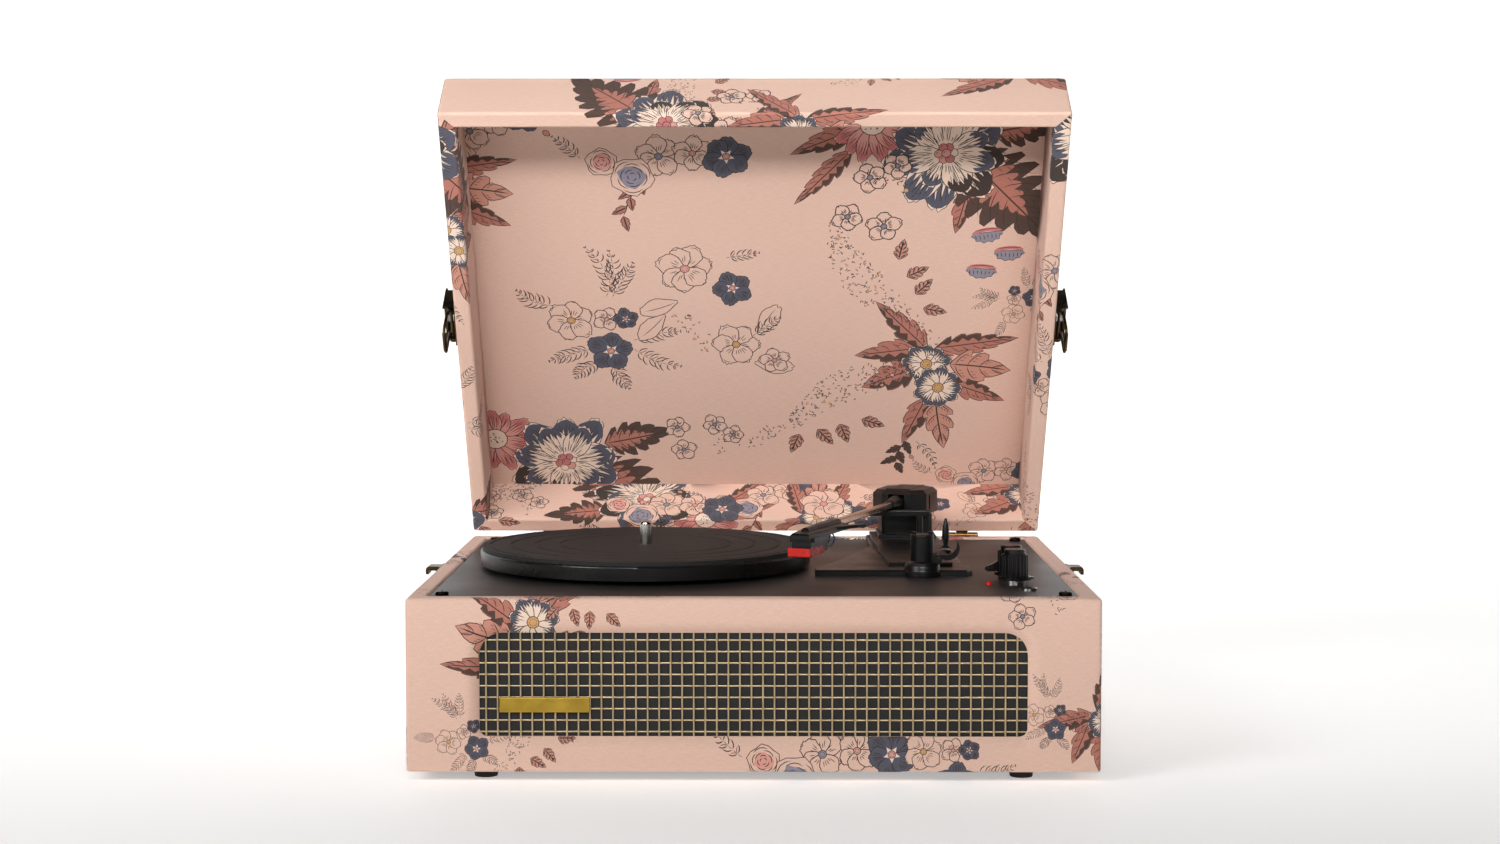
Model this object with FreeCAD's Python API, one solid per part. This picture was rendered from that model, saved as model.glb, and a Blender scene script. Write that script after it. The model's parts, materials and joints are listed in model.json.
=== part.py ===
"""Suitcase record player with its lid open: cloth-covered case, belt-driven turntable deck and tonearm.

Sizes are in millimetres. The parts are laid out in the case's own frame: X to the right from the middle of
the case, Y back from its front face, Z up from the surface that it stands on. export() moves everything so
that the origin is at the middle of the underside of the whole open player.
"""
import FreeCAD
import Part
import os
from math import cos, pi, radians, sin, sqrt

V = FreeCAD.Vector
AXIS_X = V(1, 0, 0)
AXIS_Y = V(0, 1, 0)
AXIS_Z = V(0, 0, 1)

# Case
CASE_W = 361.0
CASE_L = 305.0
BASE_H = 91.0
FOOT_H = 5.5
WALL = 10.0
BOTTOM_T = 6.0
EDGE_R = 1.5
RIM = FOOT_H + BASE_H
SIDE = CASE_W / 2
INNER = SIDE - WALL
CLEAT = 13.0
FOOT_R = 7.0
FOOT_X = 141.0
FOOT_IN = 20.0
FOOT_SCREW_R = 1.5

# Lid
LID_DEPTH = 42.0
LID_PANEL_T = 5.0
SEAM = 0.5
LID_OPEN = 57.1

# Hinges
PIN_Y = CASE_L + 2.4
PIN_Z = RIM + SEAM / 2
PIN_R = 1.0
KNUCKLE_R = 1.9
LEAF_T = 1.0
HINGE_X = 132.0
HINGE_W = 20.0
LEAF_H = 14.0
BASE_KNUCKLE = 6.0
KNUCKLE_GAP = 0.3
SCREW_OUT = 0.8

# Sockets in the back board: distance along X, height and radius
SOCKETS = (
    (96.0, FOOT_H + 45.0, 5.2),
    (116.0, FOOT_H + 45.0, 5.2),
    (140.0, FOOT_H + 45.0, 4.2),
)
PHONO_R = 4.15
PHONO_L = 8.0

# Grille and speakers
GRILLE_W = 285.0
GRILLE_H = 54.2
GRILLE_Z = RIM - 45.5
GRILLE_TOP_R = 12.0
GRILLE_LOW_R = 4.0
GRILLE_PITCH = 6.0
GRILLE_WIRE = 1.0
GRILLE_Y = 3.0
GRILLE_ACROSS = 46
GRILLE_DOWN = 8
CORNER_CUT = 1.2
CLOTH_T = 0.8
BADGE_X = (-132.0, -85.0)
BADGE_Z = (-60.0, -52.2)
BADGE_T = 1.2
SPEAKER_X = 92.0
SPEAKER_R = 24.0

# Deck and drive
DECK_TOP = RIM - 1.2
DECK_T = 3.0
DECK_LOW = DECK_TOP - DECK_T
DECK_GAP = 0.4
DECK_SCREW_X = 164.0
DECK_SCREW_Y = (22.0, 287.0)
SPINDLE_X = -62.8
SPINDLE_Y = CASE_L / 2
SHAFT_LOW_R = 3.8
SPINDLE_R = 3.58
SPINDLE_TOP = RIM + 25.4
PLATTER_R = 95.0
PLATTER_LOW = RIM + 1.5
PLATTER_TOP = RIM + 9.5
MAT_T = 2.3
RUN = 0.05
BELT_RING_R = 70.0
BELT_T = 0.8
PULLEY_R = 4.0
PULLEY_GAP = 82.0
PULLEY_TURN = radians(40)
PULLEY_AT = (SPINDLE_X - PULLEY_GAP * cos(PULLEY_TURN), SPINDLE_Y + PULLEY_GAP * sin(PULLEY_TURN))
BEARING_R = 6.0
MOTOR_R = 16.0
BELT_LOW = PLATTER_LOW + 1.0
BELT_W = 3.5

# Controls
KNOB_X = 142.0
KNOB_FRONT_Y = 69.5
KNOB_REAR_Y = 90.5
KNOB_R = 7.4
KNOB_SKIRT_R = 9.1
KNOB_TOP = RIM + 18.0
KNOB_SHOULDER = RIM + 15.4
SHAFT_R = 3.0
NUT_TOP = DECK_TOP + 2.3
JACK = (147.0, 44.0)
LED = (127.5, 65.0)

# Tonearm
PIVOT_X = 93.4
PIVOT_Y = 262.0
ARM_Z = RIM + 27.0
ARM_ANGLE = -18.6
ARM_HALF = 2.2
STYLUS = 206.8
POST = (94.0, 107.0)
POST_TOP = RIM + 22.2
BASE_TOP = RIM + 2.4
BASE_OUTLINE = (
    (34.0, 102.0), (119.0, 102.0), (122.0, 107.0), (122.0, 128.0), (118.5, 133.0), (118.5, 205.0),
    (114.5, 210.0), (114.5, 291.0), (70.0, 291.0), (70.0, 230.0), (48.0, 150.0), (34.0, 112.0),
)
HOUSING = (
    (-9.0, -22.0), (9.0, -22.0), (17.0, -14.0), (17.0, 12.0),
    (9.0, 20.0), (-9.0, 20.0), (-17.0, 12.0), (-17.0, -14.0),
)
HOUSING_LOW = RIM + 19.8
HOUSING_TOP = RIM + 34.8
STEM_R = 4.0
ARM_BACK = 8.0
TRUNNION_R = 1.5
LIFT_ROD = (100.0, 228.0)
LIFT_R = 2.0
CLIP_OUT = 9.0
CLIP_UP = 9.2
CLIP_PIN_R = 0.8
LEVER = (113.0, 189.0)
LEVER_Z = RIM + 4.0
LEVER_PIN_R = 1.2

# Latches, as distances out from the side wall and up from the seam with the lid shut
LATCH_Y = CASE_L / 2
LATCH_PIN_OUT = 3.5
LATCH_PIN_UP = 12.0
LOOP_PIN_OUT = 6.0
LOOP_PIN_UP = 16.0
LOOP_DROP = 23.5
LOOP_TILT = 12.0
LOOP_WIRE_R = 0.9
LOOP_HALF = 8.5
FLANGE_OUT = 12.0
FLANGE_IN = 10.8

nodes = {}


def box(x0, x1, y0, y1, z0, z1):
    """A block between two corners."""
    return Part.makeBox(x1 - x0, y1 - y0, z1 - z0, V(x0, y0, z0))


def rod(x, y, z0, z1, r):
    """A cylinder standing along Z."""
    return Part.makeCylinder(r, z1 - z0, V(x, y, z0), AXIS_Z)


def rod_x(x0, x1, y, z, r):
    """A cylinder lying along X."""
    return Part.makeCylinder(r, x1 - x0, V(x0, y, z), AXIS_X)


def rod_y(x, y0, y1, z, r):
    """A cylinder lying along Y."""
    return Part.makeCylinder(r, y1 - y0, V(x, y0, z), AXIS_Y)


def tube(x, y, z0, z1, r_out, r_in):
    """A ring standing along Z."""
    return rod(x, y, z0, z1, r_out).cut(rod(x, y, z0, z1, r_in))


def plate(points, z0, z1):
    """A flat plate with the given outline."""
    corners = [V(x, y, z0) for x, y in points]
    return Part.Face(Part.makePolygon(corners + corners[:1])).extrude(V(0, 0, z1 - z0))


def side_plate(points, x0, x1):
    """A flat plate standing across X, with its outline in Y and Z."""
    corners = [V(x0, y, z) for y, z in points]
    return Part.Face(Part.makePolygon(corners + corners[:1])).extrude(V(x1 - x0, 0, 0))


def join(shapes):
    """One solid made of touching shapes."""
    whole = shapes[0]
    for shape in shapes[1:]:
        whole = whole.fuse(shape)
    return whole.removeSplitter()


def group(shapes):
    """Separate solids that share a node."""
    return Part.makeCompound(shapes)


def edges_along(shape, axis, test):
    """The straight edges of a shape that lie along an axis and pass a test of their middle point."""
    found = []
    for edge in shape.Edges:
        if edge.Curve.TypeId != "Part::GeomLine":
            continue
        along = edge.tangentAt(edge.FirstParameter).dot(axis)
        if abs(along) > 0.999 and test(edge.CenterOfMass):
            found.append(edge)
    return found


def turned(shape, angle, point, axis):
    """A copy of a shape, turned about an axis through a point."""
    copy = shape.copy()
    copy.rotate(point, axis, angle)
    return copy


def mirrored(shape):
    """The same part on the other side of the case."""
    return shape.mirror(V(0, 0, 0), AXIS_X)


def swing_open(shape):
    """Takes a shape made with the lid shut to where it lies with the lid open."""
    return turned(shape, -LID_OPEN, V(0, PIN_Y, PIN_Z), AXIS_X)


def on_arm(shape):
    """Takes a shape made around a tonearm that points at -Y from the origin to where it plays."""
    copy = shape.copy()
    copy.translate(V(PIVOT_X, PIVOT_Y, 0))
    return turned(copy, ARM_ANGLE, V(PIVOT_X, PIVOT_Y, 0), AXIS_Z)


def grille_outline(y):
    """The opening in the front board at a distance y back: a rectangle with large upper and small lower corners."""
    a = GRILLE_W / 2
    b = GRILLE_H / 2
    ring = []
    for sx, sz in ((1, 1), (-1, 1), (-1, -1), (1, -1)):
        r = GRILLE_TOP_R if sz > 0 else GRILLE_LOW_R
        k = r * (1 - sqrt(0.5))
        start = V(sx * a, y, GRILLE_Z + sz * (b - r))
        middle = V(sx * (a - k), y, GRILLE_Z + sz * (b - k))
        end = V(sx * (a - r), y, GRILLE_Z + sz * b)
        ring.append((start, middle, end) if sx * sz > 0 else (end, middle, start))
    edges = []
    for index, (start, middle, end) in enumerate(ring):
        edges.append(Part.Arc(start, middle, end).toShape())
        edges.append(Part.LineSegment(end, ring[(index + 1) % 4][0]).toShape())
    return Part.Wire(edges)


def screw(x, y, z, head_r, head_h, shank_r, shank_l):
    """A pan-head screw whose head sits on a face at height z, pointing down."""
    head = rod(x, y, z, z + head_h, head_r)
    rim_edges = [e for e in head.Edges if e.CenterOfMass.z > z + head_h - 0.01 and e.Closed]
    head = head.makeFillet(head_h * 0.55, rim_edges[:1])
    slot_l = head_r * 0.62
    slot_w = head_r * 0.14
    cross = join([
        box(x - slot_l, x + slot_l, y - slot_w, y + slot_w, z + head_h * 0.4, z + head_h + 1),
        box(x - slot_w, x + slot_w, y - slot_l, y + slot_l, z + head_h * 0.4, z + head_h + 1),
    ])
    return head.cut(cross).fuse(rod(x, y, z - shank_l, z, shank_r)).removeSplitter()


# ---------------------------------------------------------------- case

def base_boards():
    """Five boards glued into the open-topped base."""
    hole = Part.Face(grille_outline(-1.0)).extrude(V(0, WALL + 2, 0))
    front = box(-SIDE, SIDE, 0, WALL, FOOT_H, RIM)
    front = front.makeFillet(EDGE_R, edges_along(front, AXIS_Z, lambda c: c.y < 1))
    front = front.cut(hole)
    lip = [e for e in front.Edges if abs(e.CenterOfMass.y) < 0.01 and abs(e.CenterOfMass.x) < GRILLE_W / 2 + 1
           and abs(e.CenterOfMass.z - GRILLE_Z) < GRILLE_H / 2 + 1]
    front = front.makeChamfer(1.6, lip)
    back = box(-SIDE, SIDE, CASE_L - WALL, CASE_L, FOOT_H, RIM)
    back = back.makeFillet(EDGE_R, edges_along(back, AXIS_Z, lambda c: c.y > CASE_L - 1))
    for x, z, r in SOCKETS:
        back = back.cut(rod_y(x, CASE_L - WALL - 1, CASE_L + 1, z, r))
    right = box(INNER, SIDE, WALL, CASE_L - WALL, FOOT_H, RIM)
    bottom = box(-INNER, INNER, WALL, CASE_L - WALL, FOOT_H, FOOT_H + BOTTOM_T)
    cleats = []
    for y0, y1 in ((WALL, WALL + CLEAT), (CASE_L - WALL - CLEAT, CASE_L - WALL)):
        cleats.append(box(-INNER, INNER, y0, y1, DECK_LOW - CLEAT, DECK_LOW))
    return front, back, mirrored(right), right, bottom, cleats


def feet():
    """Tapered rubber feet, each with the well for its screw."""
    made = []
    screws = []
    for x in (-FOOT_X, FOOT_X):
        for y in (FOOT_IN, CASE_L - FOOT_IN):
            foot = Part.makeCone(FOOT_R - 1.0, FOOT_R, FOOT_H, V(x, y, 0), AXIS_Z)
            foot = foot.cut(rod(x, y, -1, 3.0, 3.4)).cut(rod(x, y, 0, FOOT_H, FOOT_SCREW_R))
            made.append(foot)
            head = rod(x, y, 1.2, 3.0, 3.2)
            screws.append(head.fuse(rod(x, y, 3.0, FOOT_H + 5.0, FOOT_SCREW_R)).removeSplitter())
    return group(made), group(screws)


def lid_boards():
    """Five boards of the lid, made with the lid shut and swung open."""
    low = RIM + SEAM
    high = low + LID_DEPTH
    panel_low = high - LID_PANEL_T
    top = box(-INNER, INNER, WALL, CASE_L - WALL, panel_low, high)
    front = box(-SIDE, SIDE, 0, WALL, low, high)
    front = front.makeFillet(EDGE_R, edges_along(front, AXIS_Z, lambda c: c.y < 1)
                             + edges_along(front, AXIS_X, lambda c: c.y < 1 and c.z > high - 1))
    back = box(-SIDE, SIDE, CASE_L - WALL, CASE_L, low, high)
    back = back.makeFillet(EDGE_R, edges_along(back, AXIS_Z, lambda c: c.y > CASE_L - 1)
                           + edges_along(back, AXIS_X, lambda c: c.y > CASE_L - 1 and c.z > high - 1))
    right = box(INNER, SIDE, WALL, CASE_L - WALL, low, high)
    right = right.makeFillet(EDGE_R, edges_along(right, AXIS_Y, lambda c: c.x > SIDE - 1 and c.z > high - 1))
    return [swing_open(s) for s in (top, front, back, mirrored(right), right)]


# ---------------------------------------------------------------- hinges

def leaf_screw(x, z):
    """A small screw through a hinge leaf, pointing into the board."""
    head = Part.makeCylinder(1.7, SCREW_OUT, V(x, CASE_L + LEAF_T, z), AXIS_Y)
    shank = Part.makeCylinder(0.9, 7.0, V(x, CASE_L + LEAF_T - 7.0, z), AXIS_Y)
    return head.fuse(shank).removeSplitter()


def hinge(x_mid):
    """One butt hinge: base leaf, lid leaf, pin and screws, with the lid shut."""
    x0 = x_mid - HINGE_W / 2
    x1 = x_mid + HINGE_W / 2
    lid0 = x0 + BASE_KNUCKLE + KNUCKLE_GAP
    lid1 = x1 - BASE_KNUCKLE - KNUCKLE_GAP
    clear = KNUCKLE_R + 1.0
    base = box(x0, x1, CASE_L, CASE_L + LEAF_T, PIN_Z - clear - LEAF_H, PIN_Z - clear)
    for a, b in ((x0, x0 + BASE_KNUCKLE), (x1 - BASE_KNUCKLE, x1)):
        web = box(a, b, CASE_L, CASE_L + LEAF_T, PIN_Z - clear, RIM)
        base = base.fuse(web).fuse(rod_x(a, b, PIN_Y, PIN_Z, KNUCKLE_R))
    base = base.cut(rod_x(x0 - 1, x1 + 1, PIN_Y, PIN_Z, PIN_R)).removeSplitter()
    lid = box(x0, x1, CASE_L, CASE_L + LEAF_T, PIN_Z + clear, PIN_Z + clear + LEAF_H)
    web = box(lid0, lid1, CASE_L, CASE_L + LEAF_T, RIM + SEAM, PIN_Z + clear)
    lid = lid.fuse(web).fuse(rod_x(lid0, lid1, PIN_Y, PIN_Z, KNUCKLE_R))
    lid = lid.cut(rod_x(x0 - 1, x1 + 1, PIN_Y, PIN_Z, PIN_R + RUN)).removeSplitter()
    pin = rod_x(x0 - 0.4, x1 + 0.4, PIN_Y, PIN_Z, PIN_R)
    base_screws = []
    lid_screws = []
    for x in (x_mid - 6.0, x_mid + 6.0):
        base_screws.append(leaf_screw(x, PIN_Z - clear - LEAF_H / 2))
        lid_screws.append(leaf_screw(x, PIN_Z + clear + LEAF_H / 2))
    for drill in base_screws:
        base = base.cut(drill)
    for drill in lid_screws:
        lid = lid.cut(drill)
    return base, lid, pin, base_screws, lid_screws


# ---------------------------------------------------------------- grille and speakers

def grille():
    """Square wire grid in a rounded border, the cloth behind it and the plain badge."""
    y = GRILLE_Y
    holes = []
    half = (GRILLE_PITCH - GRILLE_WIRE) / 2
    short = half - CORNER_CUT
    for i in range(GRILLE_ACROSS):
        for j in range(GRILLE_DOWN):
            x = (i - (GRILLE_ACROSS - 1) / 2) * GRILLE_PITCH
            z = GRILLE_Z + (j - (GRILLE_DOWN - 1) / 2) * GRILLE_PITCH
            sx = 1 if x > 0 else -1
            sz = 1 if z > GRILLE_Z else -1
            if i in (0, GRILLE_ACROSS - 1) and j in (0, GRILLE_DOWN - 1):
                corner = [V(x + sx * half, y, z + sz * short), V(x + sx * short, y, z + sz * half)]
            else:
                corner = [V(x + sx * half, y, z + sz * half)]
            loop = [V(x - sx * half, y, z - sz * half), V(x + sx * half, y, z - sz * half)] + corner
            loop += [V(x - sx * half, y, z + sz * half)]
            holes.append(Part.makePolygon(loop + loop[:1]))
    face = Part.Face([grille_outline(y)] + holes)
    face.validate()
    mesh = face.extrude(V(0, GRILLE_WIRE, 0))
    back = y + GRILLE_WIRE
    cloth = Part.Face(grille_outline(back)).extrude(V(0, CLOTH_T, 0))
    baffle = Part.Face(grille_outline(back + CLOTH_T)).extrude(V(0, WALL - back - CLOTH_T, 0))
    for x in (-SPEAKER_X, SPEAKER_X):
        baffle = baffle.cut(rod_y(x, 0, WALL + 1, GRILLE_Z, SPEAKER_R - 2))
    badge = box(BADGE_X[0], BADGE_X[1], y - BADGE_T, y, RIM + BADGE_Z[0], RIM + BADGE_Z[1])
    badge = badge.makeFillet(0.5, [e for e in badge.Edges if e.CenterOfMass.y < y - BADGE_T + 0.1])
    return mesh, cloth, baffle, badge


def speaker(x):
    """A small full-range speaker behind the baffle: frame, cone and magnet."""
    y = WALL
    z = GRILLE_Z
    flange = Part.makeCylinder(SPEAKER_R + 2, 2.0, V(x, y, z), AXIS_Y)
    basket = Part.makeCone(SPEAKER_R, 12.0, 14.0, V(x, y + 2.0, z), AXIS_Y)
    hollow = Part.makeCone(SPEAKER_R - 2.0, 9.0, 14.0, V(x, y + 2.0, z), AXIS_Y)
    mouth = Part.makeCylinder(SPEAKER_R - 2.0, 3.0, V(x, y - 1.0, z), AXIS_Y)
    frame = flange.fuse(basket).cut(hollow).cut(mouth)
    throat = Part.makeCylinder(9.0, 3.0, V(x, y + 14.0, z), AXIS_Y)
    frame = frame.cut(throat).removeSplitter()
    outer = Part.makeCone(SPEAKER_R - 2.6, 8.4, 12.5, V(x, y + 1.5, z), AXIS_Y)
    inner = Part.makeCone(SPEAKER_R - 3.6, 7.4, 12.5, V(x, y + 0.5, z), AXIS_Y)
    cone = outer.cut(inner)
    magnet = Part.makeCylinder(14.0, 9.0, V(x, y + 16.0, z), AXIS_Y)
    return frame, cone, magnet


# ---------------------------------------------------------------- deck and drive

def deck():
    """The black deck plate, with its holes, and the screws that hold it to the cleats."""
    made = box(-INNER + DECK_GAP, INNER - DECK_GAP, WALL + DECK_GAP, CASE_L - WALL - DECK_GAP, DECK_LOW, DECK_TOP)
    made = made.cut(rod(SPINDLE_X, SPINDLE_Y, 0, RIM, BEARING_R))
    made = made.cut(rod(PULLEY_AT[0], PULLEY_AT[1], 0, RIM, PULLEY_R + 2.0))
    for y in (KNOB_FRONT_Y, KNOB_REAR_Y):
        made = made.cut(rod(KNOB_X, y, 0, RIM, SHAFT_R + 1.5))
    made = made.cut(rod(JACK[0], JACK[1], 0, RIM, 3.5))
    made = made.cut(rod(LED[0], LED[1], 0, RIM, 1.6))
    made = made.cut(rod(LIFT_ROD[0], LIFT_ROD[1], 0, RIM, LIFT_R + 1.0))
    screws = []
    for x in (-DECK_SCREW_X, DECK_SCREW_X):
        for y in DECK_SCREW_Y:
            screws.append(screw(x, y, DECK_TOP, 3.6, 2.2, 1.6, 10.0))
    return made, screws


def belt_line(r_ring, r_pulley):
    """The closed line of a belt round the platter's ring and the motor's pulley, as a flat face."""
    c0 = V(SPINDLE_X, SPINDLE_Y, BELT_LOW)
    c1 = V(PULLEY_AT[0], PULLEY_AT[1], BELT_LOW)
    along = (c1 - c0).normalize()
    across = V(-along.y, along.x, 0)
    lean = (r_ring - r_pulley) / PULLEY_GAP
    rise = sqrt(1 - lean * lean)
    up = along * lean + across * rise
    down = along * lean - across * rise
    points = [c0 + up * r_ring, c1 + up * r_pulley, c1 + down * r_pulley, c0 + down * r_ring]
    edges = [
        Part.LineSegment(points[0], points[1]).toShape(),
        Part.Arc(points[1], c1 + along * r_pulley, points[2]).toShape(),
        Part.LineSegment(points[2], points[3]).toShape(),
        Part.Arc(points[3], c0 - along * r_ring, points[0]).toShape(),
    ]
    return Part.Face(Part.Wire(edges))


def platter_parts():
    """Platter, rubber mat, spindle, bearing bush, belt, pulley and motor."""
    x = SPINDLE_X
    y = SPINDLE_Y
    disc = rod(x, y, PLATTER_TOP - 2.5, PLATTER_TOP, PLATTER_R)
    skirt = tube(x, y, PLATTER_LOW, PLATTER_TOP - 2.5, PLATTER_R, PLATTER_R - 3.0)
    ring = tube(x, y, PLATTER_LOW, PLATTER_TOP - 2.5, BELT_RING_R, BELT_RING_R - 2.0)
    hub = rod(x, y, PLATTER_LOW + 0.6, PLATTER_TOP - 2.5, 9.0)
    platter = join([disc, skirt, ring, hub]).cut(rod(x, y, 0, RIM + 30, SHAFT_LOW_R + RUN))
    corner = [e for e in platter.Edges if e.Closed and abs(e.CenterOfMass.z - PLATTER_TOP) < 0.01
              and abs(e.Length - 2 * pi * PLATTER_R) < 0.5]
    platter = platter.makeFillet(1.2, corner)
    mat = rod(x, y, PLATTER_TOP, PLATTER_TOP + MAT_T, PLATTER_R - 1.5)
    for r in (50.0, 64.0, 78.0, 90.0):
        groove = tube(x, y, PLATTER_TOP + MAT_T - 0.5, PLATTER_TOP + MAT_T + 1, r, r - 1.2)
        mat = mat.cut(groove)
    mat = mat.cut(rod(x, y, 0, RIM + 30, SHAFT_LOW_R + 0.3))
    mat_top = PLATTER_TOP + MAT_T
    spindle = rod(x, y, DECK_LOW - 18.0, mat_top, SHAFT_LOW_R).fuse(rod(x, y, mat_top, SPINDLE_TOP, SPINDLE_R))
    tip = [e for e in spindle.Edges if e.Closed and abs(e.CenterOfMass.z - SPINDLE_TOP) < 0.01]
    spindle = spindle.makeFillet(2.4, tip)
    flange = rod(x, y, DECK_LOW - 3.0, DECK_LOW, 14.0)
    bush = join([rod(x, y, DECK_LOW - 20.0, PLATTER_LOW + 0.3, BEARING_R), flange])
    bush = bush.cut(spindle)
    belt = belt_line(BELT_RING_R + 0.3 + BELT_T, PULLEY_R + 0.3 + BELT_T).extrude(V(0, 0, BELT_W))
    belt = belt.cut(belt_line(BELT_RING_R + 0.3, PULLEY_R + 0.3).extrude(V(0, 0, BELT_W)))
    px, py = PULLEY_AT
    pulley = rod(px, py, BELT_LOW - 0.5, BELT_LOW + BELT_W + 0.8, PULLEY_R)
    pulley = pulley.fuse(rod(px, py, BELT_LOW - 1.3, BELT_LOW - 0.5, PULLEY_R + 0.6)).removeSplitter()
    pulley = pulley.cut(rod(px, py, 0, BELT_LOW + BELT_W, 1.0 + RUN))
    motor = rod(px, py, DECK_LOW - 26.0, DECK_LOW - 1.0, MOTOR_R)
    motor = join([motor, rod(px, py, DECK_LOW - 1.0, BELT_LOW + BELT_W - 0.6, 1.0)])
    mount = []
    for angle in (70.0, 250.0):
        dx = 22.0 * cos(radians(angle))
        dy = 22.0 * sin(radians(angle))
        mount.append(tube(px + dx, py + dy, DECK_LOW - 8.0, DECK_LOW, 3.0, 1.2))
    bracket = box(px - 24, px + 24, py - 24, py + 24, DECK_LOW - 9.5, DECK_LOW - 8.0)
    bracket = bracket.cut(rod(px, py, 0, RIM, MOTOR_R + 0.2))
    return platter, mat, spindle, bush, belt, pulley, motor, join([bracket] + mount)


def knob(y, sign, pointer):
    """A ribbed knob on a skirt, with a pointer on the +X or -X side; pointer lists (reach, height) points."""
    x = KNOB_X
    low = NUT_TOP + 0.4
    body = rod(x, y, low, KNOB_SHOULDER, KNOB_R - 0.7)
    cap = rod(x, y, KNOB_SHOULDER - 1.0, KNOB_TOP, KNOB_R - 1.6)
    cap = cap.makeFillet(0.7, [e for e in cap.Edges if e.Closed and e.CenterOfMass.z > KNOB_TOP - 0.01])
    ribs = []
    for i in range(20):
        angle = radians(18 * i)
        at = (x + (KNOB_R - 0.75) * cos(angle), y + (KNOB_R - 0.75) * sin(angle))
        ribs.append(rod(at[0], at[1], low + 0.6, KNOB_SHOULDER - 0.5, 0.75))
    skirt = rod(x, y, low, low + 1.5, KNOB_SKIRT_R)
    corners = [V(x + sign * reach, y - 2.0, RIM + height) for reach, height in pointer]
    wing = Part.Face(Part.makePolygon(corners + corners[:1])).extrude(V(0, 4.0, 0))
    whole = join([body, cap, skirt, wing] + ribs)
    return whole.cut(rod(x, y, 0, KNOB_TOP - 4.0, SHAFT_R + RUN))


def controls():
    """The potentiometer and the switch under the knobs, with their nuts."""
    bodies = []
    for y in (KNOB_FRONT_Y, KNOB_REAR_Y):
        can = box(KNOB_X - 8.5, KNOB_X + 8.5, y - 8.5, y + 8.5, DECK_LOW - 11.0, DECK_LOW)
        shaft = rod(KNOB_X, y, DECK_LOW, KNOB_TOP - 4.6, SHAFT_R)
        bush = rod(KNOB_X, y, DECK_LOW, DECK_TOP + 0.6, SHAFT_R + 1.5)
        bodies.append(join([can, bush, shaft]))
    rings = []
    for y in (KNOB_FRONT_Y, KNOB_REAR_Y):
        rings.append(tube(KNOB_X, y, DECK_TOP, NUT_TOP, 5.6, SHAFT_R + 1.5))
    return bodies, rings


def jack_and_led():
    """Headphone jack with its ring nut, and the power lamp."""
    x, y = JACK
    jack = box(x - 5.5, x + 5.5, y - 6, y + 6, DECK_LOW - 12.0, DECK_LOW)
    jack = join([jack, rod(x, y, DECK_LOW, DECK_TOP + 1.4, 3.5)]).cut(rod(x, y, DECK_LOW - 11.0, RIM + 5, 1.78))
    nut = tube(x, y, DECK_TOP, DECK_TOP + 1.2, 4.6, 3.5)
    lamp = rod(LED[0], LED[1], DECK_LOW - 3.0, DECK_TOP + 0.4, 1.6)
    lamp = lamp.fuse(Part.makeSphere(1.6, V(LED[0], LED[1], DECK_TOP + 0.4), AXIS_Z, 0, 90, 360))
    return jack, nut, lamp.removeSplitter()


def back_sockets():
    """Two phono sockets that stand out of the back board, and a power socket."""
    made = []
    for x, z, r in SOCKETS[:2]:
        ring = rod_y(x, CASE_L - WALL - 4, CASE_L, z, r).fuse(rod_y(x, CASE_L, CASE_L + 1.5, z, r + 1.3))
        ring = ring.fuse(rod_y(x, CASE_L + 1.5, CASE_L + 1.5 + PHONO_L, z, PHONO_R))
        made.append(ring.cut(rod_y(x, CASE_L - 4, CASE_L + 12, z, 1.6)).removeSplitter())
    x, z, r = SOCKETS[2]
    power = rod_y(x, CASE_L - WALL - 6, CASE_L, z, r).cut(rod_y(x, CASE_L - WALL, CASE_L + 1, z, 2.8))
    power = power.fuse(rod_y(x, CASE_L - WALL - 5, CASE_L - 2.0, z, 0.8)).removeSplitter()
    return made, power


def electronics():
    """The amplifier board on the bottom board, with its stand-offs and tall parts."""
    z = FOOT_H + BOTTOM_T
    board = box(40, 130, 140, 230, z + 6, z + 7.6)
    posts = [rod(x, y, z, z + 6, 3.0) for x in (46, 124) for y in (146, 224)]
    cans = [rod(x, 170, z + 7.6, z + 24, 6.0) for x in (70, 88)]
    chip = box(60, 90, 190, 215, z + 7.6, z + 11)
    sink = box(100, 120, 185, 190, z + 7.6, z + 32)
    return board, posts, cans, chip, sink


# ---------------------------------------------------------------- tonearm

def tonearm_base():
    """The moulded base under the tonearm, with its plinth and its stem down through the deck."""
    base = plate(BASE_OUTLINE, DECK_TOP, BASE_TOP)
    top_edges = [e for e in base.Edges if abs(e.CenterOfMass.z - BASE_TOP) < 0.01]
    base = base.makeChamfer(0.8, top_edges)
    raised = plate([(76, 120), (112, 120), (112, 290), (72, 290), (72, 236)], BASE_TOP, BASE_TOP + 2.2)
    slots = []
    for y in (160.0, 166.0, 172.0):
        slots.append(box(104, 110, y, y + 3, BASE_TOP + 1.2, BASE_TOP + 3))
    raised = raised.cut(group(slots))
    plinth = box(76, 111, 246, 288, BASE_TOP + 2.2, RIM + 7.0)
    base = join([base, raised, plinth])
    base = base.cut(rod(LIFT_ROD[0], LIFT_ROD[1], 0, RIM + 20, LIFT_R + RUN))
    base = base.cut(rod(PIVOT_X, PIVOT_Y, RIM + 1.4, RIM + 20, STEM_R + RUN))
    well = box(LEVER[0] - 3.2, LEVER[0] + 3.2, LEVER[1] - 7, LEVER[1] + 7, DECK_TOP + 0.6, RIM + 10)
    return base.cut(well)


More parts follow.
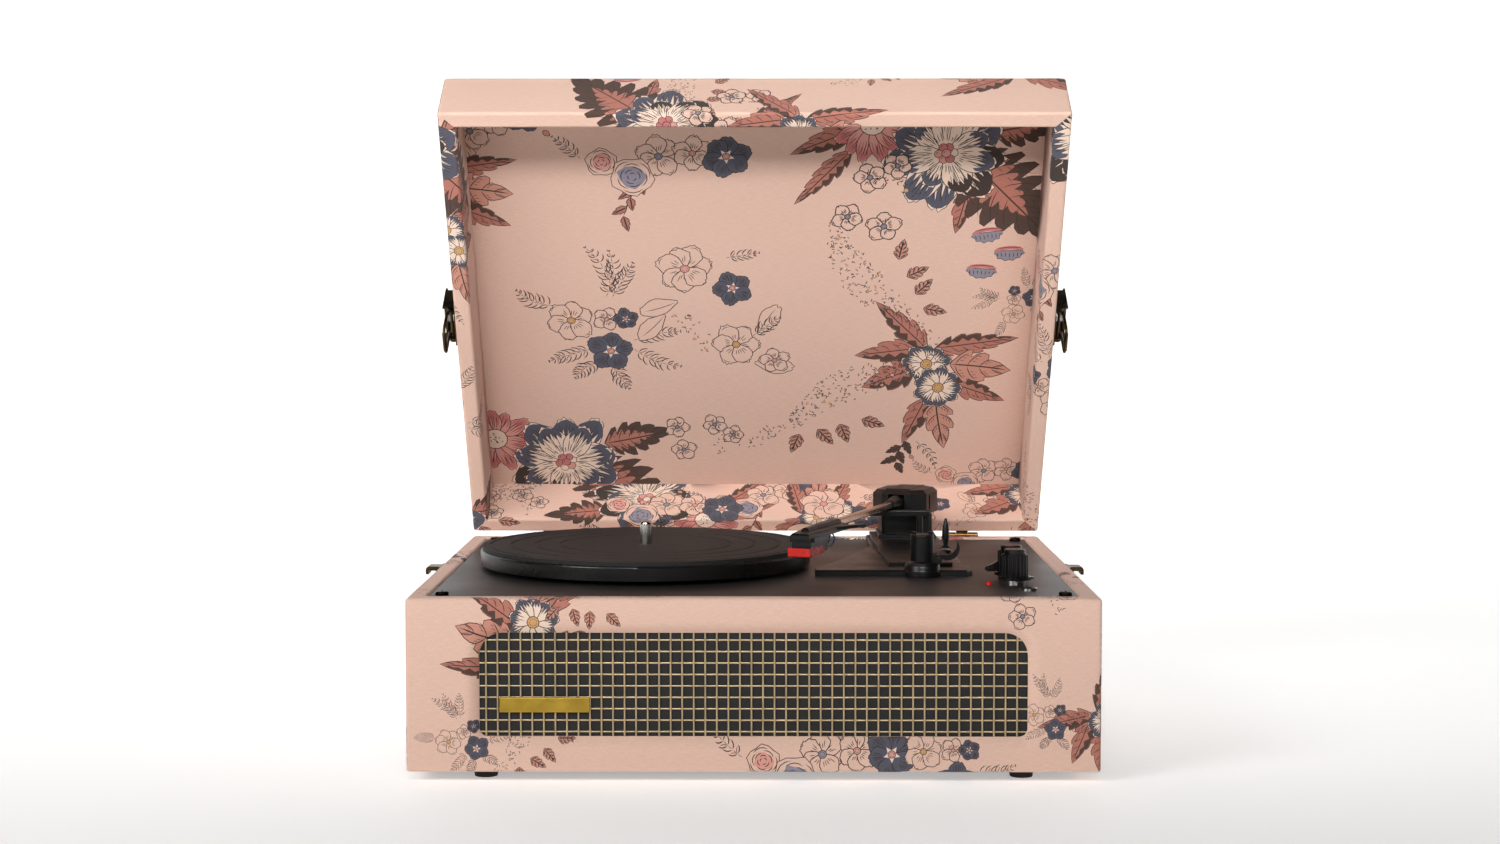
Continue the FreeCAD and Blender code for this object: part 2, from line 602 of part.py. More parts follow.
def rest_post():
    """The arm rest: foot ring, post and two short prongs."""
    x, y = POST
    foot = rod(x, y, BASE_TOP, RIM + 6.5, 9.0)
    foot = foot.makeFillet(1.0, [e for e in foot.Edges if e.Closed and e.CenterOfMass.z > RIM + 6.4])
    post = rod(x, y, RIM + 6.5, POST_TOP, 6.6)
    post = post.makeFillet(0.8, [e for e in post.Edges if e.Closed and e.CenterOfMass.z > POST_TOP - 0.1])
    prongs = [rod(x + side, y, POST_TOP - 1, RIM + 23.6, 1.3) for side in (-4.6, 4.6)]
    ear = box(x + 4.6, x + CLIP_OUT + 1.6, y - 4.2, y - 2.2, RIM + 5.5, RIM + CLIP_UP + 1.8)
    ear_back = box(x + 4.6, x + CLIP_OUT + 1.6, y + 2.2, y + 4.2, RIM + 5.5, RIM + CLIP_UP + 1.8)
    whole = join([foot, post, ear, ear_back] + prongs)
    return whole.cut(rod_y(x + CLIP_OUT, y - 5, y + 5, RIM + CLIP_UP, CLIP_PIN_R))


def arm_clip():
    """The crescent clip hinged on the side of the rest post."""
    x = POST[0] + CLIP_OUT
    y = POST[1]
    z = RIM + CLIP_UP
    outer = rod_y(x + 5.2, y - 1.8, y + 1.8, z + 5.0, 6.6)
    inner = rod_y(x + 4.2, y - 3, y + 3, z + 7.6, 6.2)
    crescent = outer.cut(inner)
    crescent = crescent.cut(box(x - 20, x + 0.4, y - 5, y + 5, z + 1.2, z + 20))
    eye = rod_y(x, y - 1.8, y + 1.8, z, 1.7)
    whole = join([crescent, eye, box(x, x + 2.4, y - 1.8, y + 1.8, z - 1.3, z + 0.9)])
    whole = whole.cut(rod_y(x, y - 5, y + 5, z, CLIP_PIN_R + RUN))
    pin = rod_y(x, y - 4.2, y + 4.2, z, CLIP_PIN_R)
    return whole, pin


def cue_lever():
    """The upright cueing lever, on a pin across its well, and its pin."""
    x, y = LEVER
    z = LEVER_Z
    hub = rod_x(x - 2.4, x + 2.4, y, z, 2.6)
    stem = side_plate([(y - 1.5, z), (y - 1.5, z + 5.0), (y - 2.6, z + 7.0), (y - 1.9, z + 15.0), (y - 0.6, z + 19.0),
                       (y + 0.6, z + 19.0), (y + 1.9, z + 15.0), (y + 2.6, z + 7.0), (y + 1.5, z + 5.0),
                       (y + 1.5, z)], x - 2.2, x + 2.2)
    lever = join([hub, stem]).cut(rod_x(x - 5, x + 5, y, z, LEVER_PIN_R + RUN))
    return lever, rod_x(x - 3.2, x + 3.2, y, z, LEVER_PIN_R)


def lift_bar():
    """The cueing platform under the arm, on its sliding rod."""
    x, y = LIFT_ROD
    stem = rod(x, y, DECK_LOW - 6.0, RIM + 20.5, LIFT_R)
    bar = box(70, 106, y - 1.6, y + 1.6, RIM + 20.5, RIM + 24.2)
    bar = bar.makeFillet(1.0, edges_along(bar, AXIS_X, lambda c: c.z > RIM + 24))
    return join([stem, bar])


def pivot_parts():
    """Fixed block, turning housing with its stem, arm tube, headshell, cartridge, guard, stylus and spring."""
    block = plate([(78, 252), (80, 250), (107, 250), (109, 252), (109, 284), (78, 284)], RIM + 7.0, RIM + 19.5)
    block = block.cut(rod(PIVOT_X, PIVOT_Y, 0, RIM + 30, STEM_R + RUN))
    housing = plate(HOUSING, HOUSING_LOW, HOUSING_TOP)
    housing = housing.makeChamfer(2.4, [e for e in housing.Edges if abs(e.CenterOfMass.z - HOUSING_TOP) < 0.01])
    ridge = box(-8.5, 8.5, -19, 17, HOUSING_TOP - 3, HOUSING_TOP + 0.6)
    ridge = ridge.makeChamfer(1.2, [e for e in ridge.Edges if abs(e.CenterOfMass.z - HOUSING_TOP - 0.6) < 0.01])
    housing = join([housing, ridge])
    room = box(-5.0, 5.0, -24, 12, RIM + 22.4, RIM + 32.2)
    housing = housing.cut(room)
    housing = housing.cut(box(14.8, 18.0, -8, -5, RIM + 22, RIM + 31))
    housing = housing.cut(rod_x(-12, 12, 0, ARM_Z, TRUNNION_R))
    stem = rod(0, 0, RIM + 1.5, RIM + 20, STEM_R)
    housing = join([housing, stem])
    trunnion = rod_x(-12, 12, 0, ARM_Z, TRUNNION_R)
    arm = box(-ARM_HALF, ARM_HALF, -160, -22.5, ARM_Z - 2.0, ARM_Z + 2.0)
    arm = arm.makeFillet(0.9, edges_along(arm, AXIS_Y, lambda c: True))
    yoke = join([box(-4.2, 4.2, -22.5, ARM_BACK, ARM_Z - 3.4, ARM_Z + 3.4),
                 Part.makeCylinder(3.6, 7.0, V(0, -29.0, ARM_Z), AXIS_Y)])
    yoke = yoke.cut(arm).cut(rod_x(-12, 12, 0, ARM_Z, TRUNNION_R + RUN))
    return block, housing, trunnion, arm, yoke


def headshell_parts():
    """Headshell, cartridge, stylus guard, stylus and lead wires, hung under the end of the arm."""
    low = ARM_Z - 2.7
    top = ARM_Z + 0.4
    shell = plate([(-9.0, -152.0), (-3.0, -147.0), (4.0, -147.0), (9.0, -152.0), (8.0, -188.0), (5.4, -215.5),
                   (-5.4, -215.5), (-8.0, -188.0)], low, top)
    shell = shell.makeChamfer(1.0, [e for e in shell.Edges if abs(e.CenterOfMass.z - top) < 0.01])
    spine = plate([(-3.4, -149.0), (3.4, -149.0), (2.2, -206.0), (-2.2, -206.0)], low, ARM_Z + 2.6)
    spine = spine.makeChamfer(1.0, [e for e in spine.Edges if abs(e.CenterOfMass.z - ARM_Z - 2.6) < 0.01])
    finger = plate([(6.0, -168.0), (17.0, -150.0), (18.6, -151.6), (16.0, -158.0), (8.0, -174.0)], top - 1.8, top)
    lips = [box(s * 6.4 - 0.7, s * 6.4 + 0.7, -211.0, -184.0, low - 2.0, low + 0.4) for s in (-1, 1)]
    shell = join([shell, spine, finger] + lips)
    shell = shell.cut(box(-ARM_HALF, ARM_HALF, -160, -140, ARM_Z - 2.0, ARM_Z + 2.0))
    body_low = RIM + 15.6
    body = side_plate([(-212.0, body_low + 3.0), (-209.0, body_low), (-181.0, body_low), (-181.0, low),
                       (-212.0, low)], -5.4, 5.4)
    guard = side_plate([(-217.0, RIM + 15.2), (-214.0, RIM + 14.4), (-192.0, RIM + 14.8), (-190.0, RIM + 18.6),
                        (-196.0, RIM + 18.9), (-217.0, RIM + 19.6)], -6.2, 6.2)
    guard = guard.cut(side_plate([(-214.5, body_low + 3.1), (-209.2, body_low - 0.01), (-180.0, body_low - 0.01),
                                  (-180.0, RIM + 25), (-214.5, RIM + 25)], -5.4, 5.4))
    body = body.cut(guard)
    needle = Part.makeCone(0.25, 0.8, 3.0, V(0, -STYLUS, RIM + 13.5), AXIS_Z)
    needle = needle.common(box(-2, 2, -STYLUS - 2, -STYLUS + 2, RIM + 13.5, RIM + 14.62))
    guard_floor = guard.common(box(-2, 2, -STYLUS - 2, -STYLUS + 2, RIM + 13, RIM + 16))
    needle = needle.cut(guard_floor)
    return shell, body, guard, needle


# ---------------------------------------------------------------- latches

def latch(y):
    """The right-hand draw latch with the lid shut: plate, lever, its pin and the wire loop."""
    s = SIDE
    seam = RIM + SEAM
    pin_z = seam + LATCH_PIN_UP
    pin_x = s + LATCH_PIN_OUT
    back = box(s, s + 1.2, y - 10.5, y + 10.5, seam + 4.0, seam + 36.0)
    ears = []
    for y0 in (y - 10.5, y + 9.7):
        ear = box(s, pin_x, y0, y0 + 0.8, pin_z - 2.4, pin_z + 2.4).fuse(rod_y(pin_x, y0, y0 + 0.8, pin_z, 2.4))
        ears.append(ear)
    mount = join([back] + ears).cut(rod_y(pin_x, y - 12, y + 12, pin_z, 1.0))
    pin = rod_y(pin_x, y - FLANGE_OUT, y + FLANGE_OUT, pin_z, 1.0)
    x_top = s + 7.4
    face = box(x_top, x_top + 1.3, y - FLANGE_OUT, y + FLANGE_OUT, pin_z + 7.0, seam + 33.0)
    tail = box(s + 4.6, x_top + 1.3, y - 6.5, y + 6.5, seam + 31.0, seam + 39.5)
    tail = tail.makeFillet(3.0, edges_along(tail, AXIS_X, lambda c: c.z > seam + 39))
    tail = tail.makeFillet(1.5, edges_along(tail, AXIS_Y, lambda c: c.z > seam + 39))
    sides = []
    for y0, y1 in ((y - FLANGE_OUT, y - FLANGE_IN), (y + FLANGE_IN, y + FLANGE_OUT)):
        arm = box(s + 1.6, x_top, y0, y1, pin_z, seam + 31.0)
        sides.append(arm.fuse(rod_y(pin_x, y0, y1, pin_z, 2.3)).fuse(box(pin_x, x_top + 1.3, y0, y1, pin_z, pin_z + 8)))
    lever = join([face, tail] + sides)
    lever = lever.cut(rod_y(pin_x, y - 20, y + 20, pin_z, 1.0 + RUN))
    lx = s + LOOP_PIN_OUT
    lz = seam + LOOP_PIN_UP
    lever = lever.cut(rod_y(lx, y - 20, y + 20, lz, LOOP_WIRE_R + RUN))
    wires = [
        rod_y(lx, y - FLANGE_OUT, y - LOOP_HALF, lz, LOOP_WIRE_R),
        rod_y(lx, y + LOOP_HALF, y + FLANGE_OUT, lz, LOOP_WIRE_R),
    ]
    for side in (-1, 1):
        wires.append(rod(lx, y + side * LOOP_HALF, lz - LOOP_DROP, lz, LOOP_WIRE_R))
        wires.append(Part.makeSphere(LOOP_WIRE_R, V(lx, y + side * LOOP_HALF, lz)))
        wires.append(Part.makeSphere(LOOP_WIRE_R, V(lx, y + side * LOOP_HALF, lz - LOOP_DROP)))
    wires.append(rod_y(lx, y - LOOP_HALF, y + LOOP_HALF, lz - LOOP_DROP, LOOP_WIRE_R))
    loop = turned(join(wires), -LOOP_TILT, V(lx, 0, lz), AXIS_Y)
    return mount, pin, lever, loop


def catch(y):
    """The right-hand catch on the base wall."""
    s = SIDE
    foot = box(s, s + 1.2, y - 10, y + 10, RIM - 20, RIM - 1.0)
    hook = box(s + 1.2, s + 9.0, y - 6, y + 6, RIM - 5.5, RIM - 1.0)
    hook = hook.makeFillet(2.0, edges_along(hook, AXIS_Y, lambda c: c.x > s + 8 and c.z > RIM - 2))
    hook = hook.cut(box(s + 3.2, s + 7.4, y - 8, y + 8, RIM - 6, RIM - 3.4))
    return join([foot, hook])


# ---------------------------------------------------------------- assembly

def build():
    """Makes every node in the case's own frame."""
    front, back, left, right, bottom, cleats = base_boards()
    foot_group, foot_screws = feet()
    deck_plate, deck_screws = deck()
    for s in foot_screws.Solids:
        bottom = bottom.cut(s)
    cleats = [c.cut(group(deck_screws)) for c in cleats]
    deck_plate = deck_plate.cut(group(deck_screws))
    hinge_sets = [hinge(x) for x in (-HINGE_X, HINGE_X)]
    base_screws = [s for h in hinge_sets for s in h[3]]
    lid_screws = [s for h in hinge_sets for s in h[4]]
    for s in base_screws:
        back = back.cut(s)
    lid_top, lid_front, lid_back, lid_left, lid_right = lid_boards()
    lid_screws = [swing_open(s) for s in lid_screws]
    for s in lid_screws:
        lid_back = lid_back.cut(s)
    nodes["base_front_board"] = front
    nodes["base_back_board"] = back
    nodes["base_left_board"] = left
    nodes["base_right_board"] = right
    nodes["base_bottom_board"] = bottom
    nodes["deck_cleats"] = group(cleats)
    nodes["feet"] = foot_group
    nodes["case_screws"] = group(foot_screws.Solids + base_screws)
    nodes["deck_plate"] = deck_plate
    nodes["deck_screws"] = group(deck_screws)
    nodes["lid_top_panel"] = lid_top
    nodes["lid_front_board"] = lid_front
    nodes["lid_back_board"] = lid_back
    nodes["lid_left_board"] = lid_left
    nodes["lid_right_board"] = lid_right
    nodes["hinge_base_leaves"] = group([h[0] for h in hinge_sets])
    nodes["hinge_lid_leaves"] = group([swing_open(h[1]) for h in hinge_sets])
    nodes["hinge_pins"] = group([h[2] for h in hinge_sets])
    nodes["hinge_lid_screws"] = group(lid_screws)
    nodes["speaker_grille"], nodes["grille_cloth"], nodes["speaker_baffle"], nodes["badge_plate"] = grille()
    speakers = [speaker(x) for x in (-SPEAKER_X, SPEAKER_X)]
    nodes["speaker_frames"] = group([s[0] for s in speakers] + [s[2] for s in speakers])
    nodes["speaker_cones"] = group([s[1] for s in speakers])
    parts = platter_parts()
    names = ("platter", "platter_mat", "spindle", "spindle_bearing", "drive_belt", "motor_pulley")
    for name, shape in zip(names, parts):
        nodes[name] = shape
    nodes["motor"] = group(parts[len(names):])
    nodes["volume_knob"] = knob(KNOB_FRONT_Y, 1, [(5.0, 2.0), (10.4, 2.0), (10.4, 2.7), (5.0, 3.7)])
    nodes["selector_knob"] = knob(KNOB_REAR_Y, -1, [(5.0, 3.6), (12.6, 3.3), (14.4, 4.2), (14.2, 6.0), (11.0, 7.2),
                                                    (5.0, 10.6)])
    bodies, rings = controls()
    nodes["control_bodies"] = group(bodies)
    nodes["headphone_jack"], jack_nut, nodes["power_lamp"] = jack_and_led()
    nodes["panel_nuts"] = group(rings + [jack_nut])
    phono, power = back_sockets()
    nodes["back_sockets"] = group(phono + [power])
    board, posts, cans, chip, sink = electronics()
    nodes["amplifier_board"] = group([join([board, chip, sink] + cans)] + posts)
    nodes["tonearm_base"] = tonearm_base()
    nodes["arm_rest_post"] = rest_post()
    nodes["arm_clip"], clip_pin = arm_clip()
    nodes["cue_lever"], cue_pin = cue_lever()
    nodes["lever_pins"] = group([clip_pin, cue_pin])
    nodes["lift_bar"] = lift_bar()
    block, housing, trunnion, arm, yoke = pivot_parts()
    nodes["pivot_block"] = block
    nodes["pivot_housing"] = on_arm(housing)
    nodes["pivot_pin"] = on_arm(trunnion)
    nodes["arm_tube"] = on_arm(arm)
    nodes["arm_yoke"] = on_arm(yoke)
    shell, body, guard, needle = headshell_parts()
    nodes["headshell"] = on_arm(shell)
    nodes["cartridge"] = on_arm(body)
    nodes["stylus_holder"] = on_arm(guard)
    mount, pin, lever, loop = latch(LATCH_Y)
    hook = catch(LATCH_Y)
    nodes["latch_plates"] = group([swing_open(s) for s in (mirrored(mount), mount, mirrored(pin), pin)])
    nodes["left_latch_lever"] = swing_open(mirrored(lever))
    nodes["right_latch_lever"] = swing_open(lever)
    nodes["left_latch_loop"] = swing_open(mirrored(loop))
    nodes["right_latch_loop"] = swing_open(loop)
    nodes["catches"] = group([mirrored(hook), hook])


def export():
    """Moves the origin to the middle of the underside and writes one STEP per node."""
    whole = group(list(nodes.values())).BoundBox
    shift = V(-(whole.XMin + whole.XMax) / 2, -(whole.YMin + whole.YMax) / 2, -whole.ZMin)
    print("nodes", len(nodes), "shift", shift, "size", whole.XLength, whole.YLength, whole.ZLength)
    os.makedirs("parts", exist_ok=True)
    for name, shape in nodes.items():
        moved = shape.copy()
        moved.translate(shift)
        if not moved.isValid():
            print("not valid:", name)
        print(name, len(moved.Solids), round(moved.Volume, 1))
        moved.exportStep("parts/" + name + ".step")


build()
export()
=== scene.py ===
"""Looks for the open suitcase record player: printed linen, wire grille, moulded plastic and brass.

Cloth, print and small details are laid out in millimetres in the case's own frame: X to the right, Y back
from the front face, Z up from the floor. place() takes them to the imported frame, in metres.
"""
import cmath
import json
import math
import random

import bpy
import numpy as np
from mathutils import Matrix, Vector
from mathutils.geometry import delaunay_2d_cdt


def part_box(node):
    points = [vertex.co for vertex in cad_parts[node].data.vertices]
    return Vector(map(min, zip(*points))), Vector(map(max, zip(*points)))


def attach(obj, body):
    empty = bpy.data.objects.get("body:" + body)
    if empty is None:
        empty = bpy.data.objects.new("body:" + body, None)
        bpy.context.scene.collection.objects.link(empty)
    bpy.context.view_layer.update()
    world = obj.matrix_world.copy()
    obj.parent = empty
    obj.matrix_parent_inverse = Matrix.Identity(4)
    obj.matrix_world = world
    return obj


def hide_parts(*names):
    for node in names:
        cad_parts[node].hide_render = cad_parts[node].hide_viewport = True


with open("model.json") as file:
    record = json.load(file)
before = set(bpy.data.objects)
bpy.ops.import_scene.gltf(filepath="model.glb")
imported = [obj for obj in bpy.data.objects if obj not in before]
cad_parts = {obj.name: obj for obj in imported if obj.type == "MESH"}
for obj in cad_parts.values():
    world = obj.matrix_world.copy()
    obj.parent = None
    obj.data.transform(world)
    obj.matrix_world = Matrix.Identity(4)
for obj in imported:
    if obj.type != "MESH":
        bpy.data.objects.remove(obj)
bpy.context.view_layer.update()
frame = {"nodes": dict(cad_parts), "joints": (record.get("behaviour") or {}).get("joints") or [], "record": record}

MM = 0.001

# Case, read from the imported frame, and the radius of the cloth at its edges
FRONT_LOW, FRONT_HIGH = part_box("base_front_board")
FRONT_Y = FRONT_LOW.y / MM
CASE_W = (FRONT_HIGH.x - FRONT_LOW.x) / MM
CASE_L = (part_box("base_back_board")[1].y - FRONT_LOW.y) / MM
FOOT_H = FRONT_LOW.z / MM
RIM = FRONT_HIGH.z / MM
BASE_H = RIM - FOOT_H
WALL = (FRONT_HIGH.y - FRONT_LOW.y) / MM
SIDE = CASE_W / 2
INNER = SIDE - WALL
INNER_L = CASE_L - 2 * WALL
EDGE_R = 1.8

# Lid. SKIN is how much of the panel's thickness each face's cloth takes in
LID_DEPTH = 42.0
LID_PANEL_T = 5.0
SKIN = 0.49
SEAM = 0.5
LID_HINGE = next(joint for joint in frame["joints"] if joint["name"] == "lid_hinge")
LID_OPEN = LID_HINGE["range_deg"][1]
PIN = Vector(LID_HINGE["pos_m"])

# Grille opening in the front wall, as heights above the floor, and the wires in it
GRILLE_LOW, GRILLE_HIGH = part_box("speaker_grille")
OPEN_W = (GRILLE_HIGH.x - GRILLE_LOW.x) / MM
OPEN_LOW = GRILLE_LOW.z / MM
OPEN_HIGH = GRILLE_HIGH.z / MM
OPEN_TOP_R = 12.0
OPEN_LOW_R = 4.0
BEVEL_W = 7.0
BEVEL_D = 3.2
POCKET = 4.75
GRILLE_PITCH = 6.0
GRILLE_FIRST_X = -139.0
GRILLE_FIRST_DOWN = 3.9
WIRE_R = 0.5
UPRIGHT_Y = 3.5
LEVEL_Y = 4.25
WIRE_TUCK = 1.0

# Holes in the back wall, as places across and radii, and their height above the wall's lower edge
SOCKETS = ((96.0, 5.2), (116.0, 5.2), (140.0, 4.2))
SOCKET_UP = 45.0

# Tonearm, rest post, cueing lever, latch loops and the cartridge's leads
PIVOT = (93.4, 262.0)
ARM_ANGLE = -18.6
ARM_Z = RIM + 27.0
POST = (94.0, 107.0)
LEVER = (113.0, 189.0)
LEVER_Z = RIM + 4.0
LOOP_OUT = 6.0
LOOP_UP = 16.0
LOOP_DROP = 23.5
LOOP_HALF = 8.5
LEAD_R = 0.42
LEAD_COLOURS = ((150, 40, 34), (196, 190, 180), (52, 84, 66), (46, 60, 96))
BLACK = (15, 14, 14)
DARK_BRASS = (84, 68, 44)

# Studio: the backdrop's glow at two distances, the camera, and each light's name, place, target, size,
# spread in degrees and power
FLOOR_GLOW = (0.36, 0.86)
GLOW_Y = (-0.3, 1.4)
FLOOR_HALF_W = 6.0
CAMERA_AT = (0.00555, -1.4522, 0.2658)
CAMERA_TURN = (math.radians(86.522), 0.0, 0.0057)
LENS = 59.84
LIGHTS = (
    ("key", (0.0, -2.12, 1.73), (0.0, 0.0, 0.2), (1.6, 0.9), 180, 9.5),
    ("left", (-1.67, -1.69, 1.3), (0.0, 0.0, 0.2), (1.1, 1.1), 180, 32.0),
    ("lid_fill", (0.0, -1.1, 0.75), (0.0, 0.26, 0.22), (1.0, 0.2), 44, 1.3),
)

# Cloth and print. INK_LINE is a pen line, PEN widens every one, THREAD and SLUB are the weave's sizes
COLOURS = {
    "ground": (222, 186, 168),
    "ink": (66, 55, 50),
    "brown": (84, 64, 56),
    "rust": (178, 116, 101),
    "clay": (198, 140, 122),
    "slate": (86, 86, 98),
    "mist": (140, 134, 146),
    "cream": (232, 208, 190),
    "rose": (196, 118, 114),
    "blush": (216, 154, 142),
    "amber": (204, 156, 104),
}
INK_LINE = 0.42
PEN = 1.4
THREAD = 0.4
SLUB = 0.2


def linear(value):
    """One sRGB channel, 0 to 255, as linear light."""
    share = value / 255
    return share / 12.92 if share <= 0.04045 else ((share + 0.055) / 1.055) ** 2.4


def colour_of(rgb):
    """An sRGB colour, 0 to 255, as Blender's linear colour."""
    return tuple(linear(value) for value in rgb) + (1.0,)


def place(x, y, z):
    """A point of the case's frame, in millimetres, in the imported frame."""
    return Vector((x * MM, (y + FRONT_Y) * MM, z * MM))


def lid_turn():
    """Takes a point of the shut lid to where it lies with the lid open."""
    turn = Matrix.Rotation(math.radians(-LID_OPEN), 4, "X")
    return Matrix.Translation(PIN) @ turn @ Matrix.Translation(-PIN)


# ---------------------------------------------------------------- materials

class Look:
    """A node material around one Principled shader."""

    def __init__(self, name, rgb, rough, metal=0.0):
        self.mat = bpy.data.materials.new(name)
        self.mat.use_nodes = True
        self.tree = self.mat.node_tree
        self.shader = self.tree.nodes["Principled BSDF"]
        self.rgb = rgb
        self.set("Base Color", colour_of(rgb))
        self.set("Roughness", rough)
        self.set("Metallic", metal)

    def set(self, socket, value):
        self.shader.inputs[socket].default_value = value

    def node(self, kind, **values):
        made = self.tree.nodes.new(kind)
        for key, value in values.items():
            setattr(made, key, value)
        return made

    def link(self, source, target):
        self.tree.links.new(source, target)

    def coordinates(self, scale, uv=None):
        """Object coordinates, or a named UV map, times a scale in repeats per metre or per millimetre."""
        if uv:
            source = self.node("ShaderNodeUVMap", uv_map=uv).outputs["UV"]
        else:
            source = self.node("ShaderNodeTexCoord").outputs["Object"]
        mapping = self.node("ShaderNodeMapping")
        mapping.inputs["Scale"].default_value = scale
        self.link(source, mapping.inputs["Vector"])
        return mapping.outputs["Vector"]

    def noise(self, scale, detail=2.0, uv=None):
        """Noise stretched by a scale along each axis."""
        made = self.node("ShaderNodeTexNoise")
        made.inputs["Scale"].default_value = 1.0
        made.inputs["Detail"].default_value = detail
        self.link(self.coordinates(scale, uv), made.inputs["Vector"])
        return made.outputs["Fac"]

    def ranged(self, value, low, high, start=0.3, stop=0.7):
        """A value taken from start..stop to low..high."""
        made = self.node("ShaderNodeMapRange")
        made.inputs["From Min"].default_value = start
        made.inputs["From Max"].default_value = stop
        made.inputs["To Min"].default_value = low
        made.inputs["To Max"].default_value = high
        self.link(value, made.inputs["Value"])
        return made.outputs["Result"]

    def added(self, first, second):
        made = self.node("ShaderNodeMath", operation="ADD")
        self.link(first, made.inputs[0])
        self.link(second, made.inputs[1])
        return made.outputs["Value"]

    def bump(self, height, strength, distance):
        made = self.node("ShaderNodeBump")
        made.inputs["Strength"].default_value = strength
        made.inputs["Distance"].default_value = distance
        self.link(height, made.inputs["Height"])
        self.link(made.outputs["Normal"], self.shader.inputs["Normal"])

    def shade(self, factor, low, high, start=0.3, stop=0.7):
        """Varies the base colour's brightness between low and high times itself."""
        mix = self.node("ShaderNodeMix", data_type="RGBA")
        dark = tuple(min(1.0, channel * low) for channel in colour_of(self.rgb)[:3]) + (1.0,)
        light = tuple(min(1.0, channel * high) for channel in colour_of(self.rgb)[:3]) + (1.0,)
        sockets = [s for s in mix.inputs if s.name in ("A", "B") and s.type == "RGBA"]
        sockets[0].default_value = dark
        sockets[1].default_value = light
        self.link(self.ranged(factor, 0.0, 1.0, start, stop), mix.inputs["Factor"])
        result = next(s for s in mix.outputs if s.type == "RGBA")
        self.link(result, self.shader.inputs["Base Color"])

    def rough(self, factor, low, high):
        self.link(self.ranged(factor, low, high), self.shader.inputs["Roughness"])


def even(repeats):
    """The same repeats along all three directions."""
    return (repeats, repeats, repeats)


def linen(name, rgb):
    """Printed linen: threads both ways with slubs, over a soft uneven tone."""
    look = Look(name, rgb, 0.9)
    weft = look.noise((SLUB, 1 / THREAD, 1), uv="cloth")
    warp = look.noise((1 / THREAD, 3 * SLUB, 1), uv="cloth")
    threads = look.added(weft, warp)
    look.shade(threads, 0.92, 1.05, 0.75, 1.25)
    look.bump(threads, 0.3, 0.00008)
    look.set("Specular IOR Level", 0.25)
    look.set("Sheen Weight", 0.12)
    look.set("Sheen Roughness", 0.5)
    return look.mat


def moulded(name, rgb, rough):
    """Injection-moulded plastic with a fine satin grain."""
    look = Look(name, rgb, rough)
    fine = look.noise(even(2600))
    broad = look.noise(even(60))
    look.rough(broad, rough - 0.05, rough + 0.06)
    look.shade(broad, 0.92, 1.1)
    look.bump(fine, 0.3, 0.000006)
    look.set("Specular IOR Level", 0.36)
    return look.mat


def metal(name, rgb, rough, tarnish=0.25):
    """Metal with a fine grain and patches of duller tarnish."""
    look = Look(name, rgb, rough, 1.0)
    fine = look.noise(even(1500))
    patch = look.noise(even(90), 3.0)
    look.shade(patch, 1.0 - tarnish, 1.0 + 0.4 * tarnish)
    look.rough(patch, rough - 0.2 * tarnish, rough + 0.5 * tarnish)
    look.bump(fine, 0.2, 0.000004)
    return look.mat


def rubber(name, rgb):
    """Dull rubber, paper or cloth with a fine rough surface."""
    look = Look(name, rgb, 0.72)
    fine = look.noise(even(1800), 3.0)
    look.shade(fine, 0.85, 1.2)
    look.bump(fine, 0.3, 0.00002)
    return look.mat


def deck_coating():
    """Black textured coating of the deck plate."""
    look = Look("deck_black", (26, 22, 22), 0.46)
    speckle = look.noise(even(1900))
    broad = look.noise(even(14))
    look.shade(speckle, 0.7, 1.5)
    look.rough(broad, 0.4, 0.5)
    look.bump(speckle, 0.4, 0.00003)
    return look.mat


# ---------------------------------------------------------------- printed motifs

def clamp(value, low, high):
    return max(low, min(high, value))


def ring_of(radius, count, at=0j):
    """Points evenly round a circle."""
    return [at + cmath.rect(radius, math.radians(360 / count * k)) for k in range(count)]


def turned(points, angle, at, size=1.0):
    """Points made around the origin, sized, turned by degrees and moved."""
    spin = cmath.rect(size, math.radians(angle))
    return [at + spin * p for p in points]


def grown(points, width):
    """A closed outline pushed outwards by a width."""
    area = sum((a.conjugate() * b).imag for a, b in zip(points, points[1:] + points[:1]))
    side = -1j if area > 0 else 1j
    made = []
    for before, here, after in zip(points[-1:] + points[:-1], points, points[1:] + points[:1]):
        way = after - before
        made.append(here + side * width * way / max(abs(way), 1e-6))
    return made


def stroke_shape(points, width):
    """A pen stroke along points, thin at both ends."""
    left, right = [], []
    for i in range(1, len(points) - 1):
        way = points[i + 1] - points[i - 1]
        side = 1j * width / 2 * way / max(abs(way), 1e-6)
        left.append(points[i] + side)
        right.append(points[i] - side)
    return [points[0]] + right + [points[-1]] + left[::-1]


def arc(start, stop, bow, steps=4):
    """Points from start to stop, bowed to the left by a share of the distance."""
    way = stop - start
    return [start + way * u + 1j * way * bow * 4 * u * (1 - u) for u in (i / steps for i in range(steps + 1))]


class Print:
    """Printed shapes in drawing order, in millimetres on the flat cloth."""

    def __init__(self):
        self.shapes = []

    def fill(self, colour, points):
        self.shapes.append((colour, points))

    def lined(self, colour, points, line=INK_LINE):
        self.fill("ink", grown(points, line * PEN))
        self.fill(colour, points)

    def stroke(self, points, width):
        self.fill("ink", stroke_shape(points, width * PEN))

    def add(self, other, at=0j, angle=0.0, size=1.0):
        for colour, points in other.shapes:
            self.fill(colour, turned(points, angle, at, size))


